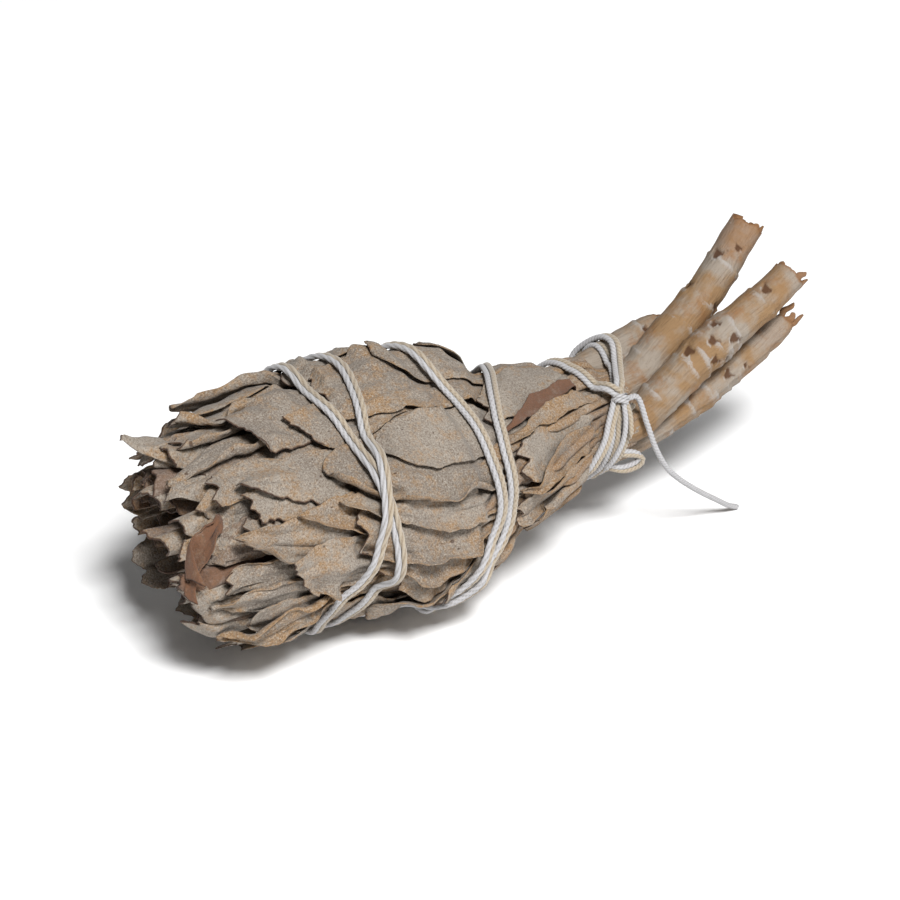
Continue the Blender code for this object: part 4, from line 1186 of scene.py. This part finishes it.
def makeLeafFinish():
    f = Finish("sageLeaf")
    c = leafFinish
    broad = f.noise(95.0, 4.0, 0.6)
    patch = f.noise(260.0, 4.0, 0.6)
    dots = f.noise(1500.0, 2.0, 0.6)
    felt = f.noise(3000.0, 2.0, 0.7)
    # the tone moves a leaf between the dark and the grey colour: at random on the outer leaves and stalks,
    # paler as painted light on the inner leaves that show, darker as painted shade on the hidden ring leaves
    # and the core
    colour = f.mix(f.ramp(f.plus(broad, f.note("tone"), 0.08), 0.35, 0.66), c["shade"], c["grey"])
    ochre = f.plus(f.uneven(patch, dots, 0.75), f.note("ochre"), 0.17)
    ochre = f.plus(f.uneven(ochre, broad, 0.6), f.note("depth"), 0.05)
    colour = f.stain(colour, c["ochre"], ochre, 0.56, 0.86, 0.85)
    colour = f.stain(colour, c["pale"], felt, 0.51, 0.68, 0.85)
    colour = f.stain(colour, c["rust"], patch, 0.0, 0.45, f.note("rust"))
    colour = f.stain(colour, c["speck"], felt, 0.47, 0.32, 0.75)
    colour = f.stain(colour, c["rim"], f.uneven(f.note("rim"), dots, 0.9), 0.55, 0.85, 0.92)
    colour = f.stain(colour, c["rim"], f.noise(620.0, 1.0, 0.5), 0.75, 0.79, 0.75)
    normal = f.bump(broad, 0.45, 0.0020)
    normal = f.bump(f.noise(420.0, 3.0, 0.6), 0.35, 0.0008, normal)
    normal = f.bump(dots, 0.40, 0.0003, normal)
    normal = f.bump(felt, 0.7, 0.00018, normal)
    return f.done(colour, 0.92, normal, 0.08)


stemFinish = dict(
    bark=(0.235, 0.145, 0.073), pale=(0.262, 0.222, 0.180), orange=(0.225, 0.112, 0.044),
    crust=(0.315, 0.292, 0.270), scar=(0.070, 0.030, 0.013), broken=(0.200, 0.098, 0.042),
)


def makeStemFinish():
    f = Finish("sageStem")
    c = stemFinish
    broad = f.noise(120.0, 4.0, 0.6)
    fibre = f.noise(1.0, 4.0, 0.6, f.note("along", "Vector"), (0.25, 2.2, 1.0))
    patch = f.noise(190.0, 5.0, 0.65)
    grain = f.noise(1700.0, 3.0, 0.7)
    colour = f.mix(f.ramp(broad, 0.40, 0.58), c["pale"], c["bark"])
    colour = f.stain(colour, c["orange"], patch, 0.53, 0.68, 0.75)
    colour = f.stain(colour, c["scar"], fibre, 0.5, 0.8, 0.4)
    crust = f.uneven(f.uneven(f.note("crust"), grain, 0.9), patch, 0.8)
    colour = f.stain(colour, c["crust"], crust, 0.45, 0.85, 0.8)
    colour = f.stain(colour, c["scar"], grain, 0.60, 0.80, 0.4)
    colour = f.mix(f.note("broken"), colour, c["broken"])
    colour = f.stain(colour, c["scar"], f.uneven(f.note("scar"), grain, 0.5), 0.30, 0.75, 0.92)
    normal = f.bump(fibre, 0.6, 0.0006)
    normal = f.bump(grain, 0.5, 0.0003, normal)
    return f.done(colour, 0.85, normal)


twineFinish = dict(
    # each strand's colour, and the darker colour painted into the grooves between its plies as shade
    twineWhite=((0.40, 0.395, 0.405), (0.19, 0.18, 0.17)),
    twineCream=((0.355, 0.300, 0.228), (0.17, 0.118, 0.070)),
)


def makeTwineFinish(name):
    f = Finish(name)
    colour, shade = twineFinish[name]
    fibre = f.noise(2600.0, 3.0, 0.7)
    # painted shade: the grooves between the plies take the darker colour; the fibre noise mottles with it too
    mixed = f.mix(f.ramp(f.note("ply"), 0.0, 0.75), shade, colour)
    mixed = f.stain(mixed, shade, fibre, 0.45, 0.75, 0.25)
    return f.done(mixed, 0.85, f.bump(fibre, 0.5, 0.0002), 0.3)


leafLook = makeLeafFinish()
stemLook = makeStemFinish()
whiteLook = makeTwineFinish("twineWhite")
creamLook = makeTwineFinish("twineCream")


def dress(piece, look, slotName, *nodes):
    piece.data.materials.clear()
    piece.data.materials.append(look)
    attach(piece, "root")
    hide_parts(*nodes)


for name in shoots:
    dress(leaves[name], leafLook, "sage", name)
    dress(stems[name], stemLook, "sage", name)
dress(white, whiteLook, "twine", "twine_winding")
dress(cream, creamLook, "twine", "twine_winding")

tailLine = smoothLine(twine["tail"], 0.4)
tailRope = Patchwork("ply")
addStrand(tailRope, tailLine, np.array([0.3, -1.0, 0.2]), 0.5 * twine["thick"])
tail = tailRope.build("twineTail")
dress(tail, whiteLook, "twine", "twine_tail")
tailLength = round(float(lengthAlong(tailLine)[-1]) * mm, 4)
tailPath = [tuple(p * mm) for p in tailLine]
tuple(tailPath[0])
print("tail", tailLength)

studio = dict(
    floorSize=6.0, floorColour=(0.95, 0.95, 0.95), air=0.13,
    key=dict(toward=(-0.17, -0.61, 0.77), far=2.4, size=0.55, watts=88.0),
    fill=dict(toward=(0.35, -0.75, 0.55), far=1.6, size=1.2, watts=4.0),
)


def makeStudio():
    bpy.ops.mesh.primitive_plane_add(size=studio["floorSize"], location=(0, 0, 0))
    floor = bpy.context.object
    floor.name = "floor"
    f = Finish("floor")
    f.shader.inputs["Base Color"].default_value = (*studio["floorColour"], 1)
    f.shader.inputs["Roughness"].default_value = 0.9
    floor.data.materials.append(f.material)
    world = bpy.data.worlds.new("studio")
    world.use_nodes = True
    world.node_tree.nodes["Background"].inputs["Color"].default_value = (1, 1, 1, 1)
    world.node_tree.nodes["Background"].inputs["Strength"].default_value = studio["air"]
    bpy.context.scene.world = world
    for name in ("key", "fill"):
        lamp = studio[name]
        data = bpy.data.lights.new(name, "AREA")
        data.energy = lamp["watts"]
        data.size = lamp["size"]
        toward = Vector(lamp["toward"]).normalized()
        made = bpy.data.objects.new(name, data)
        made.location = Vector((0.0, 0.0, 0.03)) + toward * lamp["far"]
        made.rotation_euler = toward.to_track_quat("Z", "Y").to_euler()
        bpy.context.collection.objects.link(made)


makeStudio()
print("studio lit")
